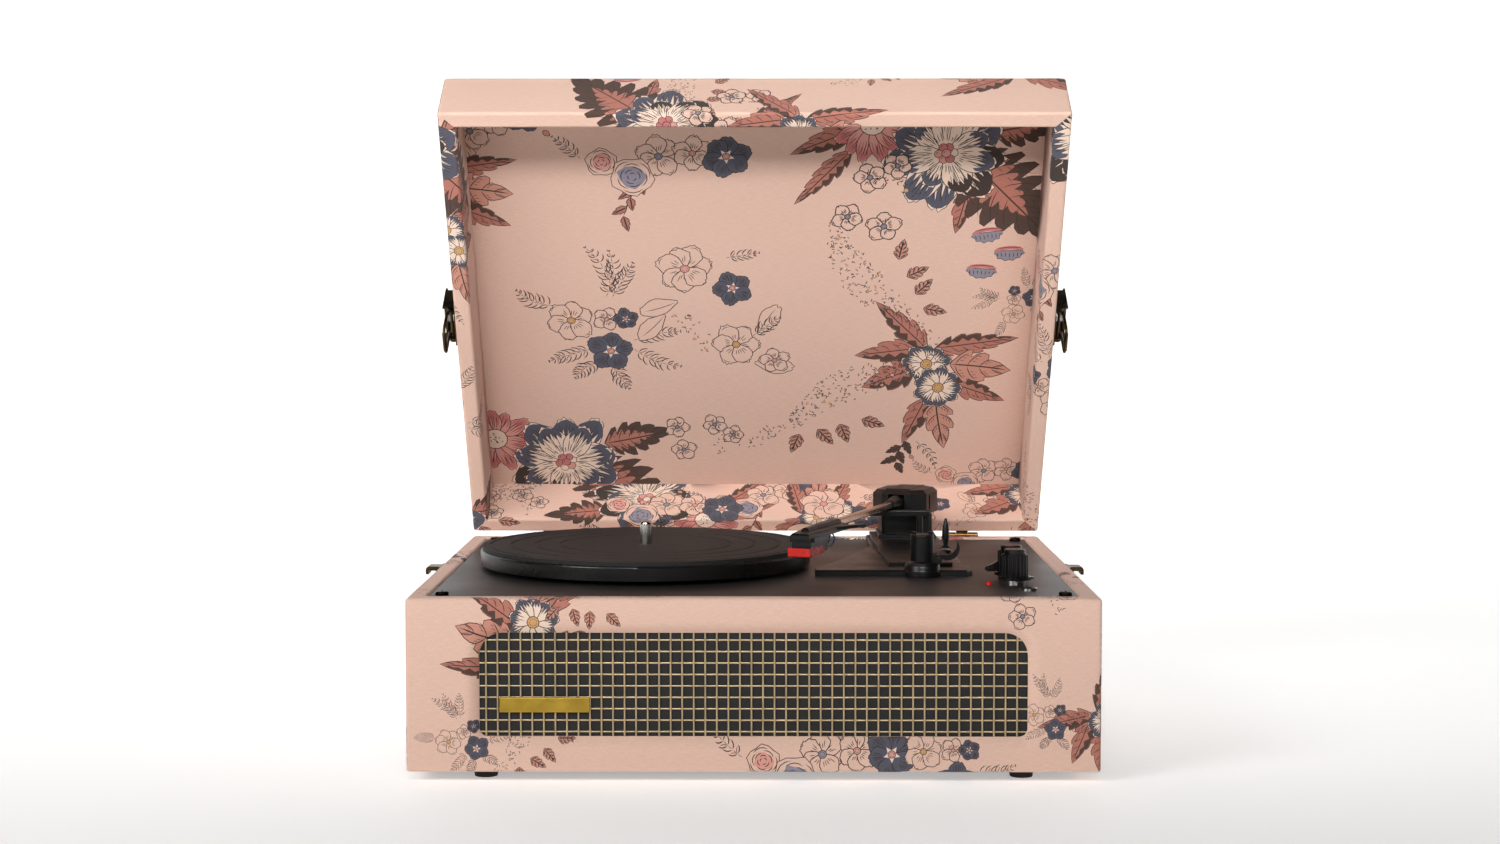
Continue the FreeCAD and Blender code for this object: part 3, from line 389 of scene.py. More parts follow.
def petal_outline(length, width, rng, frill=0.05):
    """A petal from its base at 0 out to its frilled tip at +length."""
    upper, lower = [], []
    steps = 7
    for i in range(1, steps + 1):
        u = i / (steps + 0.8)
        half = width / 2 * math.sin(math.pi * u ** 1.25) ** 0.7
        upper.append(complex(u * length, half * (1 + rng.uniform(-frill, frill))))
        lower.append(complex(u * length, -half * (1 + rng.uniform(-frill, frill))))
    tips = []
    scallops = ((-0.24, 0.95), (-0.12, 1.0), (-0.04, 0.965), (0.06, 1.02), (0.15, 0.97), (0.24, 0.95))
    for share, reach in scallops:
        tips.append(complex(length * (reach + rng.uniform(-frill, frill) / 2), width * share))
    return [complex(0, -width * 0.05)] + lower + tips + upper[::-1] + [complex(0, width * 0.05)]


def brush_tip(length, width, reach, rng):
    """The dark end of a petal, whose inner edge runs back in long ragged fingers."""
    edge, front = [], []
    fingers = 5
    for i in range(2 * fingers + 1):
        y = 0.42 * (1 - i / fingers)
        back = reach * (rng.uniform(0.8, 1.15) if i % 2 else rng.uniform(0.0, 0.3))
        edge.append(complex(length * (0.9 - back * (1 - 1.2 * abs(y)) - 0.5 * abs(y)), width * y))
    for i in range(7):
        y = 0.42 * (i / 3 - 1)
        front.append(complex(length * (0.985 - 1.2 * y * y), width * y))
    return edge + front


def petal(length, width, body, tip, reach, rng, hatch):
    """One petal with a brushed tip and engraved lines."""
    made = Print()
    made.lined(body, petal_outline(length, width, rng), 0.36)
    if tip:
        made.fill(tip, brush_tip(length, width, reach, rng))
    for i in range(hatch):
        y = width * 0.66 * ((i + 0.5) / hatch - 0.5)
        far = 0.94 - 1.1 * (y / width) ** 2
        start = complex(length * far * rng.uniform(0.94, 1.0), y)
        stop = complex(length * rng.uniform(0.3, 0.6), y * 0.6)
        made.stroke(arc(start, stop, rng.uniform(-0.06, 0.06)), 0.3)
    return made


def bead_centre(radius, rng):
    """Round pink stamens in a tight cluster."""
    made = Print()
    for i in range(7):
        at = cmath.rect(radius * (0.0 if i == 6 else 0.62), math.radians(60 * i + rng.uniform(-12, 12)))
        made.lined(rng.choice(("rose", "blush", "rose", "cream")), ring_of(radius * 0.36, 10, at), 0.3)
        made.stroke(arc(at - radius * 0.18, at + radius * 0.2j, 0.3), 0.26)
    return made


def disc_centre(radius, colour, rng):
    """A round centre with a dark ring of short dashes."""
    made = Print()
    ring = [cmath.rect(radius * rng.uniform(0.94, 1.06), math.radians(24 * k)) for k in range(15)]
    made.lined(colour, ring, 0.35)
    for k in range(9):
        angle = math.radians(40 * k + rng.uniform(-6, 6))
        start, stop = cmath.rect(radius * 0.62, angle), cmath.rect(radius * 0.66, angle + 0.5)
        made.stroke(arc(start, stop, -0.1, 3), 0.3)
    return made


def great_flower(seed, radius):
    """A large open flower: long cream petals with slate ends round a pink centre."""
    rng = random.Random(seed)
    made = Print()
    for count, reach, wide, dark in ((9, 1.0, 0.6, 0.46), (7, 0.78, 0.46, 0.26)):
        first = rng.uniform(0, 360 / count)
        order = list(range(count))
        rng.shuffle(order)
        for i in order:
            angle = first + 360 / count * (i + rng.uniform(-0.16, 0.16))
            length = radius * reach * rng.uniform(0.86, 1.1)
            tip = rng.choice(("slate", "slate", "ink"))
            width = radius * wide * rng.uniform(0.85, 1.1)
            made.add(petal(length, width, "cream", tip, dark, rng, 8), 0j, angle)
    for i in range(44):
        angle = 2 * math.pi * (i + rng.uniform(-0.3, 0.3)) / 44
        start = cmath.rect(radius * rng.uniform(0.2, 0.25), angle)
        stop = cmath.rect(radius * rng.uniform(0.3, 0.5), angle)
        made.stroke(arc(start, stop, rng.uniform(-0.05, 0.05)), 0.34)
    made.add(bead_centre(radius * 0.19, rng))
    return made


def whorl(rng, radius, count, stray, reach, wide, body, tip, back, hatch):
    """Petals round a centre: stray is how far each may turn, reach its least and most share of the radius."""
    made = Print()
    for i in range(count):
        angle = 360 / count * i + rng.uniform(-stray, stray)
        length = radius * rng.uniform(*reach)
        made.add(petal(length, radius * wide, body, tip, back, rng, hatch), 0j, angle)
    return made


def rose_flower(seed, radius):
    """A pink flower with long ragged petals and a plain seeded centre."""
    rng = random.Random(seed)
    made = whorl(rng, radius, 13, 6, (0.85, 1.05), 0.42, "blush", "rose", 0.5, 4)
    made.lined("cream", ring_of(radius * 0.3, 12))
    for _ in range(14):
        at = cmath.rect(radius * 0.2 * rng.random() ** 0.5, rng.uniform(0, 2 * math.pi))
        made.stroke(arc(at, at + cmath.rect(radius * 0.07, rng.uniform(0, 6.28)), 0.3, 3), 0.4)
    return made


def daisy(seed, radius):
    """A small open flower with an amber centre."""
    rng = random.Random(seed)
    made = whorl(rng, radius, 9, 4, (0.92, 1.06), 0.62, "cream", "slate", 0.34, 4)
    made.add(disc_centre(radius * 0.22, "amber", rng))
    return made


def dark_flower(seed, radius, petals=5):
    """A flower of broad slate petals with a small pink eye."""
    rng = random.Random(seed)
    made = whorl(rng, radius, petals, 6, (0.85, 1.05), 0.86, "slate", None, 0, 7)
    star = [cmath.rect(radius * (0.34 if k % 2 else 0.16), math.radians(36 * k)) for k in range(10)]
    made.fill("cream", star)
    made.add(disc_centre(radius * 0.13, "blush", rng))
    return made


def line_flower(seed, radius, petals, eye="blush"):
    """A flower drawn only in line, with engraved lines round its centre."""
    rng = random.Random(seed)
    made = Print()
    for i in range(petals):
        angle = 360 / petals * i + rng.uniform(-8, 8)
        shape = petal_outline(radius * rng.uniform(0.86, 1.05), radius * 0.82, rng, 0.09)
        whole = Print()
        whole.lined("ground", shape, 0.4)
        for k in range(5):
            y = radius * 0.5 * (k / 4 - 0.5)
            start = complex(radius * 0.24, y * 0.5)
            whole.stroke(arc(start, complex(radius * rng.uniform(0.42, 0.62), y), 0.04, 3), 0.32)
        left, right = complex(radius * 0.88, -radius * 0.2), complex(radius * 0.88, radius * 0.16)
        whole.stroke(arc(left, right, -0.2), 0.32)
        made.add(whole, 0j, angle)
    made.add(disc_centre(radius * 0.15, eye, rng))
    return made


def rosette(seed, radius, colour="blush"):
    """A small full rose of curled petals."""
    rng = random.Random(seed)
    made = Print()
    ring = [cmath.rect(radius * (1 + 0.09 * math.sin(5 * k * 0.42)), 0.42 * k) for k in range(15)]
    made.lined("ground", ring, 0.36)
    patch = [cmath.rect(radius * rng.uniform(0.5, 0.8), 0.7 * k) for k in range(9)]
    made.fill(colour, patch)
    for turn in range(5):
        reach = radius * (0.2 + 0.16 * turn)
        for k in range(3):
            angle = 2.1 * k + 0.8 * turn + rng.uniform(-0.2, 0.2)
            made.stroke(arc(cmath.rect(reach, angle), cmath.rect(reach, angle + 1.35), -0.22), 0.42)
    return made


def leaf_half(u, width):
    """Half the width of a leaf at a share u of its length: broad below the middle, long in the point."""
    return width / 2 * 1.08 * math.sin(math.pi * clamp(u, 0, 1) ** 0.66) ** 1.1


def leaf_outline(length, width, teeth, rng, notch):
    """A leaf with teeth that point forwards, from its stalk at 0 to its point at +length."""
    edges = []
    for side in (1, -1):
        edge = []
        for i in range(teeth):
            deep = 1 - notch * rng.uniform(0.6, 1.2)
            out = rng.uniform(0.94, 1.08)
            for share, reach in ((0.0, deep), (0.35, 0.5 + 0.5 * deep), (0.75, 1.0), (1.02, out)):
                u = (i + share + 0.15) / (teeth + 0.6)
                edge.append(complex(u * length, side * reach * leaf_half(u, width)))
        edges.append(edge)
    return [0j] + edges[1] + [complex(length, 0)] + edges[0][::-1]


def leaf(seed, length, width, body, heart, teeth, veins=True):
    """A serrated leaf with a second colour spreading from its stalk."""
    rng = random.Random(seed)
    made = Print()
    made.lined(body, leaf_outline(length, width, teeth, rng, 0.42), 0.4)
    if heart:
        made.fill(heart, leaf_outline(length * 0.72, width * 0.62, teeth + 2, rng, 0.6))
    made.stroke(arc(0j, complex(length * 0.95, 0), rng.uniform(-0.02, 0.02), 6), 0.7)
    for i in range(teeth + 1 if veins else 0):
        u = (i + 0.4) / (teeth + 2)
        reach = 0.86 * leaf_half(u + 0.16, width)
        for side in (1, -1):
            start = complex(u * length, 0)
            stop = complex((u + 0.2) * length, side * reach)
            made.stroke(arc(start, stop, side * 0.1), 0.42)
            for k in range(3):
                at = start + (stop - start) * (0.35 + 0.2 * k)
                made.stroke(arc(at, at + complex(0.07 * length, side * 0.4), side * 0.1, 3), 0.28)
    return made


def feather_leaf(seed, length, width):
    """A long leaf, inked round its edge, with one side in brushed shade."""
    rng = random.Random(seed)
    made = Print()
    teeth = max(3, int(length / 10))
    outline = leaf_outline(length, width, teeth, rng, 0.36)
    made.lined("rust", outline, 0.36)
    upper = outline[len(outline) // 2 + 1:]
    shaded = [complex(p.real, p.imag * 0.97) for p in upper]
    back = []
    for i in range(3 * teeth):
        u = (i + 0.5) / (3 * teeth + 1)
        share = rng.uniform(0.5, 0.66) if i % 2 else rng.uniform(0.12, 0.3)
        back.append(complex(u * length, share * leaf_half(u, width)))
    made.fill("brown", shaded + back)
    made.stroke(arc(0j, complex(length * 0.96, 0), 0.0, 6), 0.5)
    for i in range(teeth + 2):
        u = (i + 0.5) / (teeth + 3)
        start = complex(u * length, 0)
        stop = complex((u + 0.14) * length, -0.7 * leaf_half(u + 0.1, width))
        made.stroke(arc(start, stop, -0.1, 3), 0.34)
    for i in range(2 * teeth):
        u = rng.uniform(0.2, 0.8)
        at = complex(u * length, -leaf_half(u, width) * rng.uniform(0.45, 0.7))
        made.stroke(arc(at, at + complex(length * 0.06, -0.4), 0.1, 3), 0.28)
    return made


def sprig(seed, length, leaves, leaf_l, tip=None):
    """A fine stem with pairs of leaflets drawn in line."""
    rng = random.Random(seed)
    made = Print()
    stem = arc(0j, complex(length, 0), rng.uniform(-0.14, 0.14), leaves + 1)
    for before, after in zip(stem[:-2], stem[1:-1]):
        made.stroke([before, (before + after) / 2, after], 0.3)
    for i in range(1, leaves + 1):
        size = leaf_l * math.sin(math.pi * (0.25 + 0.7 * i / leaves))
        for side in (1, -1):
            way = cmath.rect(size, side * rng.uniform(0.6, 0.95))
            at = stem[i]
            made.stroke(arc(at, at + way, side * 0.2), 0.5)
            if rng.random() < 0.6:
                made.stroke(arc(at, at + way * 0.8, -side * 0.14), 0.3)
    if tip:
        made.lined(tip, turned(petal_outline(4.5, 3.2, rng), 0, stem[-1] - 2), 0.3)
    return made


def lace(seed, length, width, density):
    """A drift of tiny curled blossoms along a bowed line."""
    rng = random.Random(seed)
    made = Print()
    for _ in range(int(length * width * density / 6)):
        u = rng.random()
        spread = width * 0.5 * math.sin(math.pi * (0.12 + 0.8 * u)) * rng.uniform(-1, 1)
        at = complex(u * length, spread + 0.12 * length * 4 * u * (1 - u))
        way = cmath.rect(rng.uniform(1.5, 2.7), rng.uniform(0, 2 * math.pi))
        made.stroke(arc(at, at + way, rng.choice((-0.35, 0.35)), 3), 0.42)
        if rng.random() < 0.05:
            bud = [at + cmath.rect(1.1, 1.05 * n) for n in range(6)]
            made.fill(rng.choice(("blush", "mist", "clay", "amber")), bud)
    return made


def cup(seed):
    """A small side-on blossom: scalloped grey-blue skirt under a pink brim."""
    rng = random.Random(seed)
    made = Print()
    width = 19.0
    skirt = []
    for k in range(13):
        angle = math.pi * (1 + k / 12)
        reach = width / 2 * (1.0 if k % 2 else 0.86) * rng.uniform(0.95, 1.05)
        skirt.append(complex(reach * math.cos(angle), reach * 0.75 * math.sin(angle)))
    made.lined("mist", skirt, 0.3)
    brim = arc(complex(-width * 0.5, 0), complex(width * 0.5, 0.6), 0.1, 6)
    made.fill("rose", stroke_shape(brim, 2.6))
    made.stroke(arc(complex(-width * 0.4, 1.4), complex(width * 0.42, 1.8), 0.06, 5), 0.34)
    for k in range(7):
        x = width * 0.8 * (k / 6 - 0.5)
        stop = complex(x * 0.9, -width * rng.uniform(0.18, 0.28))
        made.stroke(arc(complex(x, -1.0), stop, 0.1, 3), 0.32)
    return made


def bud_twig(seed, length, body="rust"):
    """A twig of small dark-edged leaves."""
    rng = random.Random(seed)
    made = Print()
    stem = arc(0j, complex(length, 0), rng.uniform(-0.16, 0.16), 5)
    made.stroke(stem, 0.6)
    for i in range(1, 6):
        side = 1 if i % 2 else -1
        angle = side * rng.uniform(28, 52)
        small = leaf(rng.random(), rng.uniform(8, 12), 4.6, body, None, 3, False)
        made.add(small, stem[min(i, 5)] - 1.0, angle)
    return made


def bare_leaf(seed):
    """A plain leaf drawn in line."""
    made = Print()
    made.lined("ground", petal_outline(24, 12, random.Random(seed), 0.08), 0.38)
    made.stroke(arc(0j, 22 + 0j, 0.04), 0.34)
    return made


# ---------------------------------------------------------------- clusters of motifs

# Each row is a motif, the step added to the cluster's seed, its place, its angle and the motif's own sizes

# The great flower with its pink neighbour, dark leaves and three side-on blossoms
BOUQUET = (
    (feather_leaf, 46, -50 + 18j, 204, 46, 15), (feather_leaf, 50, -56 + 2j, 228, 50, 12),
    (feather_leaf, 30, 14 - 26j, -102, 30, 12), (leaf, 1, 26 + 14j, 12, 46, 24, "brown", "rust", 5),
    (leaf, 2, 12 - 2j, -47, 80, 50, "brown", "rust", 7), (rose_flower, 3, -44 + 20j, 10, 25),
    (great_flower, 4, 0j, 8, 37), (cup, 5, 27 - 55j, 8), (cup, 6, 41 - 68j, 2), (cup, 7, 25 - 81j, -4),
)
# Two daisies in a burst of rust leaves
DAISY_GROUP = (
    (feather_leaf, 48, -3 + 20j, 133, 48, 15), (feather_leaf, 52, 2 + 20j, 9, 52, 15),
    (feather_leaf, 38, -10 + 20j, 188, 38, 16), (feather_leaf, 36, -10 + 5j, 204, 36, 20),
    (feather_leaf, 40, 10 - 5j, -22, 40, 15), (feather_leaf, 38, -2 - 18j, -112, 38, 14),
    (leaf, 7, 12 + 8j, -7, 38, 23, "clay", None, 3), (leaf, 8, 4 - 20j, -80, 38, 18, "clay", None, 3),
    (bud_twig, 9, -12 - 50j, -110, 22, "brown"), (sprig, 10, -8 - 52j, -62, 30, 6, 5),
    (daisy, 11, -3 + 8j, 12, 15.5), (daisy, 12, 5 - 10j, 40, 15.5),
)
# A dark flower and an amber-eyed one among ferns
FERN_GROUP = (
    (sprig, 40, 12 + 34j, 118, 40, 8, 8), (sprig, 38, 8 + 30j, 88, 38, 8, 8),
    (sprig, 32, 12 + 30j, 62, 32, 8, 8), (sprig, 28, -24 + 24j, 150, 28, 8, 8),
    (sprig, 36, 24 - 8j, -22, 36, 8, 8), (sprig, 34, 24 - 2j, 12, 34, 8, 8),
    (sprig, 32, -2 - 8j, 200, 32, 8, 8), (sprig, 22, 2 - 18j, 222, 22, 8, 8),
    (sprig, 24, 10 - 20j, -60, 24, 8, 8),
    (line_flower, 1, -14 + 13j, 20, 15, 6, "amber"), (line_flower, 2, 8 + 14j, 0, 9, 5),
    (dark_flower, 3, 20 + 14j, 30, 8), (dark_flower, 4, 10 - 10j, 12, 15),
)
# Flowers drawn in line, going down in a curve, with one dark one
OUTLINE_GROUP = (
    (bare_leaf, 200, -22 + 12j, 200), (bare_leaf, 228, -30 + 2j, 228), (bare_leaf, 60, 28 - 12j, 60),
    (bare_leaf, -8, 26 - 34j, -8), (sprig, 1, 8 + 44j, 10, 24, 6, 6), (sprig, 2, 24 - 14j, 38, 26, 6, 7),
    (lace, 3, -24 + 4j, -58, 36, 10, 0.5), (line_flower, 4, -17 + 36j, 15, 17, 7),
    (dark_flower, 5, 12 + 22j, 40, 12.5), (line_flower, 6, 14 - 20j, 0, 15, 6, "amber"),
    (line_flower, 7, 38 - 32j, 30, 9.5, 5),
)
# Small roses and pale flowers in a row, with a rust twig
ROSE_GROUP = (
    (bud_twig, 0, -6 - 8j, -115, 34), (sprig, 1, -44 + 2j, 138, 26, 6, 6, "clay"),
    (line_flower, 2, 2 + 4j, 0, 14, 7, "mist"), (line_flower, 3, 22 + 6j, 30, 12, 6),
    (dark_flower, 4, 42 + 4j, 20, 15, 6), (rosette, 5, -32 + 0j, 0, 9),
    (rosette, 6, -14 - 10j, 40, 12.5, "mist"),
)
# A drift of lace with small rust leaves at its end
LACE_GROUP = (
    (lace, 0, -40 + 0j, 28, 90, 24, 0.62), (lace, 1, -44 - 2j, 190, 40, 14, 0.5),
    (leaf, 0, -22 - 4j, -50, 15, 8, "clay", None, 3), (leaf, 1, -8 + 0j, -70, 15, 8, "clay", None, 3),
    (leaf, 2, -34 - 8j, 250, 15, 8, "clay", None, 3), (leaf, 3, 6 + 4j, -20, 15, 8, "clay", None, 3),
)
# Four little line flowers in a loose bow
SMALL_FLOWERS = (
    (line_flower, 0, -22 + 8j, 0, 8, 5, "mist"), (line_flower, 1, -18 - 10j, 25, 8.5, 5, "mist"),
    (line_flower, 2, 2 + 10j, 50, 8, 5, "mist"), (line_flower, 3, 14 + 2j, 75, 7, 5, "mist"),
    (lace, 9, 2 + 6j, -80, 20, 8, 0.5),
)

# Each row is a cluster, its place in millimetres, its angle and its size
LID_INNER_PRINT = (
    (BOUQUET, 113, 257, 0, 1.0), (BOUQUET, -122, 28, 2, 1.0), (DAISY_GROUP, 110, 97, 0, 1.0),
    (FERN_GROUP, -100, 125, 0, 1.0), (OUTLINE_GROUP, -26, 140, 0, 1.0), (ROSE_GROUP, -59, 251, 0, 1.0),
    (LACE_GROUP, 62, 58, 0, 1.0), (LACE_GROUP, 92, 178, 98, 0.95), (SMALL_FLOWERS, -28, 48, 0, 1.0),
    (SMALL_FLOWERS, 78, 232, 60, 1.25), (ROSE_GROUP, -168, 268, 20, 0.9), (DAISY_GROUP, -192, 226, 0, 0.95),
    (FERN_GROUP, 166, 150, 90, 0.5), (ROSE_GROUP, 146, 18, 0, 0.72),
)
LID_TOP_PRINT = (
    (BOUQUET, -50, -8, 180, 0.86), (LACE_GROUP, -22, 30, 60, 0.7), (SMALL_FLOWERS, -8, 9, 40, 1.1),
    (DAISY_GROUP, 28, -22, 0, 0.9), (DAISY_GROUP, 146, 62, 200, 0.95), (LACE_GROUP, 84, 46, 10, 0.5),
)
LID_LOW_PRINT = (
    (BOUQUET, -70, 21, 176, 0.9), (ROSE_GROUP, 4, 22, 10, 0.8), (DAISY_GROUP, 46, 5, 92, 0.8),
    (SMALL_FLOWERS, -152, 16, 0, 0.9), (OUTLINE_GROUP, 128, 6, 70, 0.55),
)
FRONT_PRINT = (
    (DAISY_GROUP, -112, 69, 166, 0.86), (LACE_GROUP, -80, 82, -24, 0.62), (LACE_GROUP, -104, 14, 20, 0.6),
    (FERN_GROUP, -150, 14, 30, 0.45), (ROSE_GROUP, 34, 6, 0, 0.9), (FERN_GROUP, 98, 2, 0, 0.7),
    (DAISY_GROUP, 188, 26, 60, 0.62), (FERN_GROUP, 152, 26, 10, 0.4), (SMALL_FLOWERS, 152, 92, 10, 0.8),
)
LID_SIDE_PRINT = {
    "lid_left_cloth": (
        (BOUQUET, -128, 20, 90, 0.9), (DAISY_GROUP, -68, 44, 90, 0.8), (FERN_GROUP, 60, 20, 0, 0.8),
        (BOUQUET, 150, 18, 90, 0.9),
    ),
    "lid_right_cloth": (
        (BOUQUET, 138, 24, -100, 1.1), (ROSE_GROUP, 42, 46, -80, 0.9), (FERN_GROUP, -36, 36, 40, 0.8),
        (LACE_GROUP, -120, 26, 10, 0.9),
    ),
}
SCATTERED = (BOUQUET, FERN_GROUP, DAISY_GROUP, OUTLINE_GROUP, ROSE_GROUP, LACE_GROUP)


def scatter(seed, width, height, step=118.0):
    """Clusters spread over a wall in the order of the cloth's repeat."""
    rng = random.Random(seed)
    made = []
    columns = max(1, round(width / step))
    rows = max(1, round(height / step))
    for column in range(columns + 1):
        for row in range(rows + (column % 2)):
            x = width * ((column + rng.uniform(-0.12, 0.12)) / columns - 0.5)
            y = height * (row + 0.5 - 0.5 * (column % 2)) / rows + rng.uniform(-8, 8)
            made.append((SCATTERED[(2 * column + 3 * row + seed) % 6], x, y, rng.uniform(-12, 12), 0.9))
    return made


def printed(placements, seed, flip=None):
    """The shapes of placed clusters; flip takes a placed point to the cloth's own coordinates."""
    made = Print()
    for index, (cluster, x, y, angle, size) in enumerate(placements):
        whole = Print()
        for motif, step, at, turn, *sizes in cluster:
            whole.add(motif(seed + 31 * index + step, *sizes), at, turn)
        made.add(whole, complex(x, y), angle, size)
    if flip:
        made.shapes = [(colour, [flip(p) for p in points]) for colour, points in made.shapes]
    return made.shapes


# ---------------------------------------------------------------- cloth covers

def inside(points, ring):
    """Which of the points, an array of complex numbers, lie inside a closed outline."""
    corners = np.array(ring)
    after = np.roll(corners, -1)
    above = corners.imag[None, :] > points.imag[:, None]
    above_after = after.imag[None, :] > points.imag[:, None]
    rise = np.where(after.imag == corners.imag, 1e-12, after.imag - corners.imag)
    cross = corners.real + (points.imag[:, None] - corners.imag) / rise * (after.real - corners.real)
    hits = (above != above_after) & (points.real[:, None] < cross)
    return hits.sum(axis=1) % 2 == 1


def cut_cloth(outline, holes, guides, shapes):
    """Points and triangles of a flat piece of cloth, with the colour on top of each triangle."""
    corners, edges = [], []

    def draw(line, closed):
        first = len(corners)
        corners.extend(Vector((p.real, p.imag)) for p in line)
        count = len(line)
        edges.extend((first + i, first + (i + 1) % count) for i in range(count if closed else count - 1))

    left, right = min(p.real for p in outline), max(p.real for p in outline)
    low, high = min(p.imag for p in outline), max(p.imag for p in outline)
    used = []
    for colour, ring in shapes:
        xs = [p.real for p in ring]
        ys = [p.imag for p in ring]
        if max(xs) > left and min(xs) < right and max(ys) > low and min(ys) < high:
            used.append((colour, ring, min(xs), max(xs)))
            draw(ring, True)
    draw(outline, True)
    for ring in holes:
        draw(ring, True)
    for line in guides:
        draw(line, line[0] == line[-1])
    points, _, triangles, _, _, _ = delaunay_2d_cdt(corners, edges, [], 0, 1e-4)
    spots = np.array([complex(p.x, p.y) for p in points])
    triangles = np.array(triangles)
    middles = spots[triangles].mean(axis=1)
    kept = inside(middles, outline)
    for ring in holes:
        kept &= ~inside(middles, ring)
    triangles, middles = triangles[kept], middles[kept]
    order = np.argsort(middles.real)
    triangles, middles = triangles[order], middles[order]
    names = list(COLOURS)
    tints = np.zeros(len(triangles), int)
    for colour, ring, x0, x1 in used:
        first, last = np.searchsorted(middles.real, (x0, x1))
        if last > first:
            tints[first:last][inside(middles[first:last], ring)] = names.index(colour)
    used_spots, triangles = np.unique(triangles, return_inverse=True)
    return spots[used_spots], triangles.reshape(-1, 3), tints


CLOTH = {}


def cloth_materials():
    """One linen material per printed colour, in the order of COLOURS."""
    for name, rgb in COLOURS.items():
        CLOTH[name] = linen("cloth_" + name, rgb)


def add_piece(name, points, faces, body, normals=None):
    """A mesh piece from points in metres, riding on a CAD body."""
    mesh = bpy.data.meshes.new(name)
    mesh.from_pydata([tuple(p) for p in points], [], faces)
    mesh.polygons.foreach_set("use_smooth", [True] * len(faces))
    if normals:
        mesh.normals_split_custom_set_from_vertices([tuple(n) for n in normals])
    piece = bpy.data.objects.new(name, mesh)
    bpy.context.scene.collection.objects.link(piece)
    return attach(piece, body)


def on_board(s, t, half, height):
    """A point of the cloth wrapped round a mitred board, and the outward direction there.

    s runs along the board and t round it: under it, up its outer face, over its rim and down inside. Both
    results are (along, inwards, up), in millimetres.
    """
    if t < 0:
        along, inward, up = s, -t, 0.0
    elif t <= height:
        along, inward, up = s, 0.0, t
    elif t <= height + WALL:
        along, inward, up = s, t - height, height
    else:
        along, inward, up = s, WALL, 2 * height + WALL - t
    deepest = WALL - EDGE_R if up > height / 2 else WALL
    core = Vector((clamp(along, EDGE_R - half, half - EDGE_R), clamp(inward, EDGE_R, deepest),
                   clamp(up, EDGE_R, height - EDGE_R)))
    out = Vector((along, inward, up)) - core
    if out.length < 1e-6:
        return Vector((along, inward, up)), Vector((0, 1, 0))
    reach = max(abs(v) for v in out)
    point = core + out * (reach / out.length)
    if inward > WALL / 2:
        point.x *= (half - point.y) / (half - inward)
    return point, out.normalized()


def board_guides(half, height):
    """Lines across the cloth where it goes round the board's edges."""
    lines = []
    steps = (0.0, 0.3 * EDGE_R, 0.6 * EDGE_R, EDGE_R)
    for edge in (0.0, height, height + WALL):
        for step in steps:
            for t in {edge - step, edge + step}:
                lines.append([complex(-half - 1, t), complex(half + 1, t)])
    for step in steps[1:]:
        for s in (step - half, half - step):
            lines.append([complex(s, -WALL), complex(s, height + WALL)])
    return lines


def board_outline(half, height):
    """The flat cloth of a mitred board."""
    low = half - WALL
    right = [(low, -WALL), (half, 0), (half, height), (low, height + WALL), (low, 2 * height + WALL)]
    return [complex(s, t) for s, t in right] + [complex(-s, t) for s, t in right[::-1]]


def finish_cloth(name, spots, triangles, tints, points, normals, body, extra_faces):
    """The mesh of a cloth piece, with its threads' directions in the map called cloth."""
    faces = [tuple(map(int, tri)) for tri in triangles] + extra_faces
    piece = add_piece(name, points, faces, body, normals)
    for material in CLOTH.values():
        piece.data.materials.append(material)
    tints = [int(v) for v in tints] + [0] * len(extra_faces)
    piece.data.polygons.foreach_set("material_index", tints)
    threads = piece.data.uv_layers.new(name="cloth")
    flat = [(p.real, p.imag) for p in spots] + [(0.0, 0.0)] * (len(points) - len(spots))
    for loop in piece.data.loops:
        threads.data[loop.index].uv = flat[loop.vertex_index]
    return piece


def mitre_caps(spots, triangles, half, height):
    """The point numbers round each mitred end of a board, in order along t."""
    caps = []
    used = set(map(int, triangles.ravel()))
    for side in (-1, 1):
        chain = []
        for index in used:
            s, t = spots[index].real, spots[index].imag
            end = half - clamp(-t, 0, WALL) - clamp(t - height, 0, WALL)
            if abs(side * s - end) < 1e-3:
                chain.append((t, index))
        caps.append([index for _, index in sorted(chain)])
    return caps


def board_cover(name, half, height, shapes, to_case, body, opening=None, holes=()):
    """Cloth round one mitred board. to_case takes (along, inwards, up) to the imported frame."""
    cuts = list(holes)
    guides = board_guides(half, height)
    if opening:
        cuts.append(opening.ring(0.0))
        guides += [opening.ring(out) + opening.ring(out)[:1] for out in (1.2, 2.6, 4.4, BEVEL_W)]
    spots, triangles, tints = cut_cloth(board_outline(half, height), cuts, guides, shapes)
    points, normals = [], []
    turn = to_case.to_3x3().normalized()
    for spot in spots:
        point, out = on_board(spot.real, spot.imag, half, height)
        if opening and 0 < spot.imag < height:
            point, out = opening.bevelled(point, out)
        points.append(to_case @ point)
        normals.append(turn @ out)
    extra = []

    for side, cap in zip((-1, 1), mitre_caps(spots, triangles, half, height)):
        first = len(points)
        points.extend([points[index].copy() for index in cap])
        normals.extend([turn @ Vector((side, 1, 0)).normalized()] * len(cap))
        extra.append(tuple(range(first, first + len(cap))))
    if opening:
        for ring, normal in opening.pocket(spots, triangles, height):
            first = len(points)
            deep = to_case.to_3x3() @ Vector((0, POCKET - BEVEL_D, 0))
            points.extend([points[i] for i in ring] + [points[i] + deep for i in ring[::-1]])
            normals.extend([turn @ normal] * 4)
            extra.append(tuple(range(first, first + 4)))
    return finish_cloth(name, spots, triangles, tints, points, normals, body, extra)


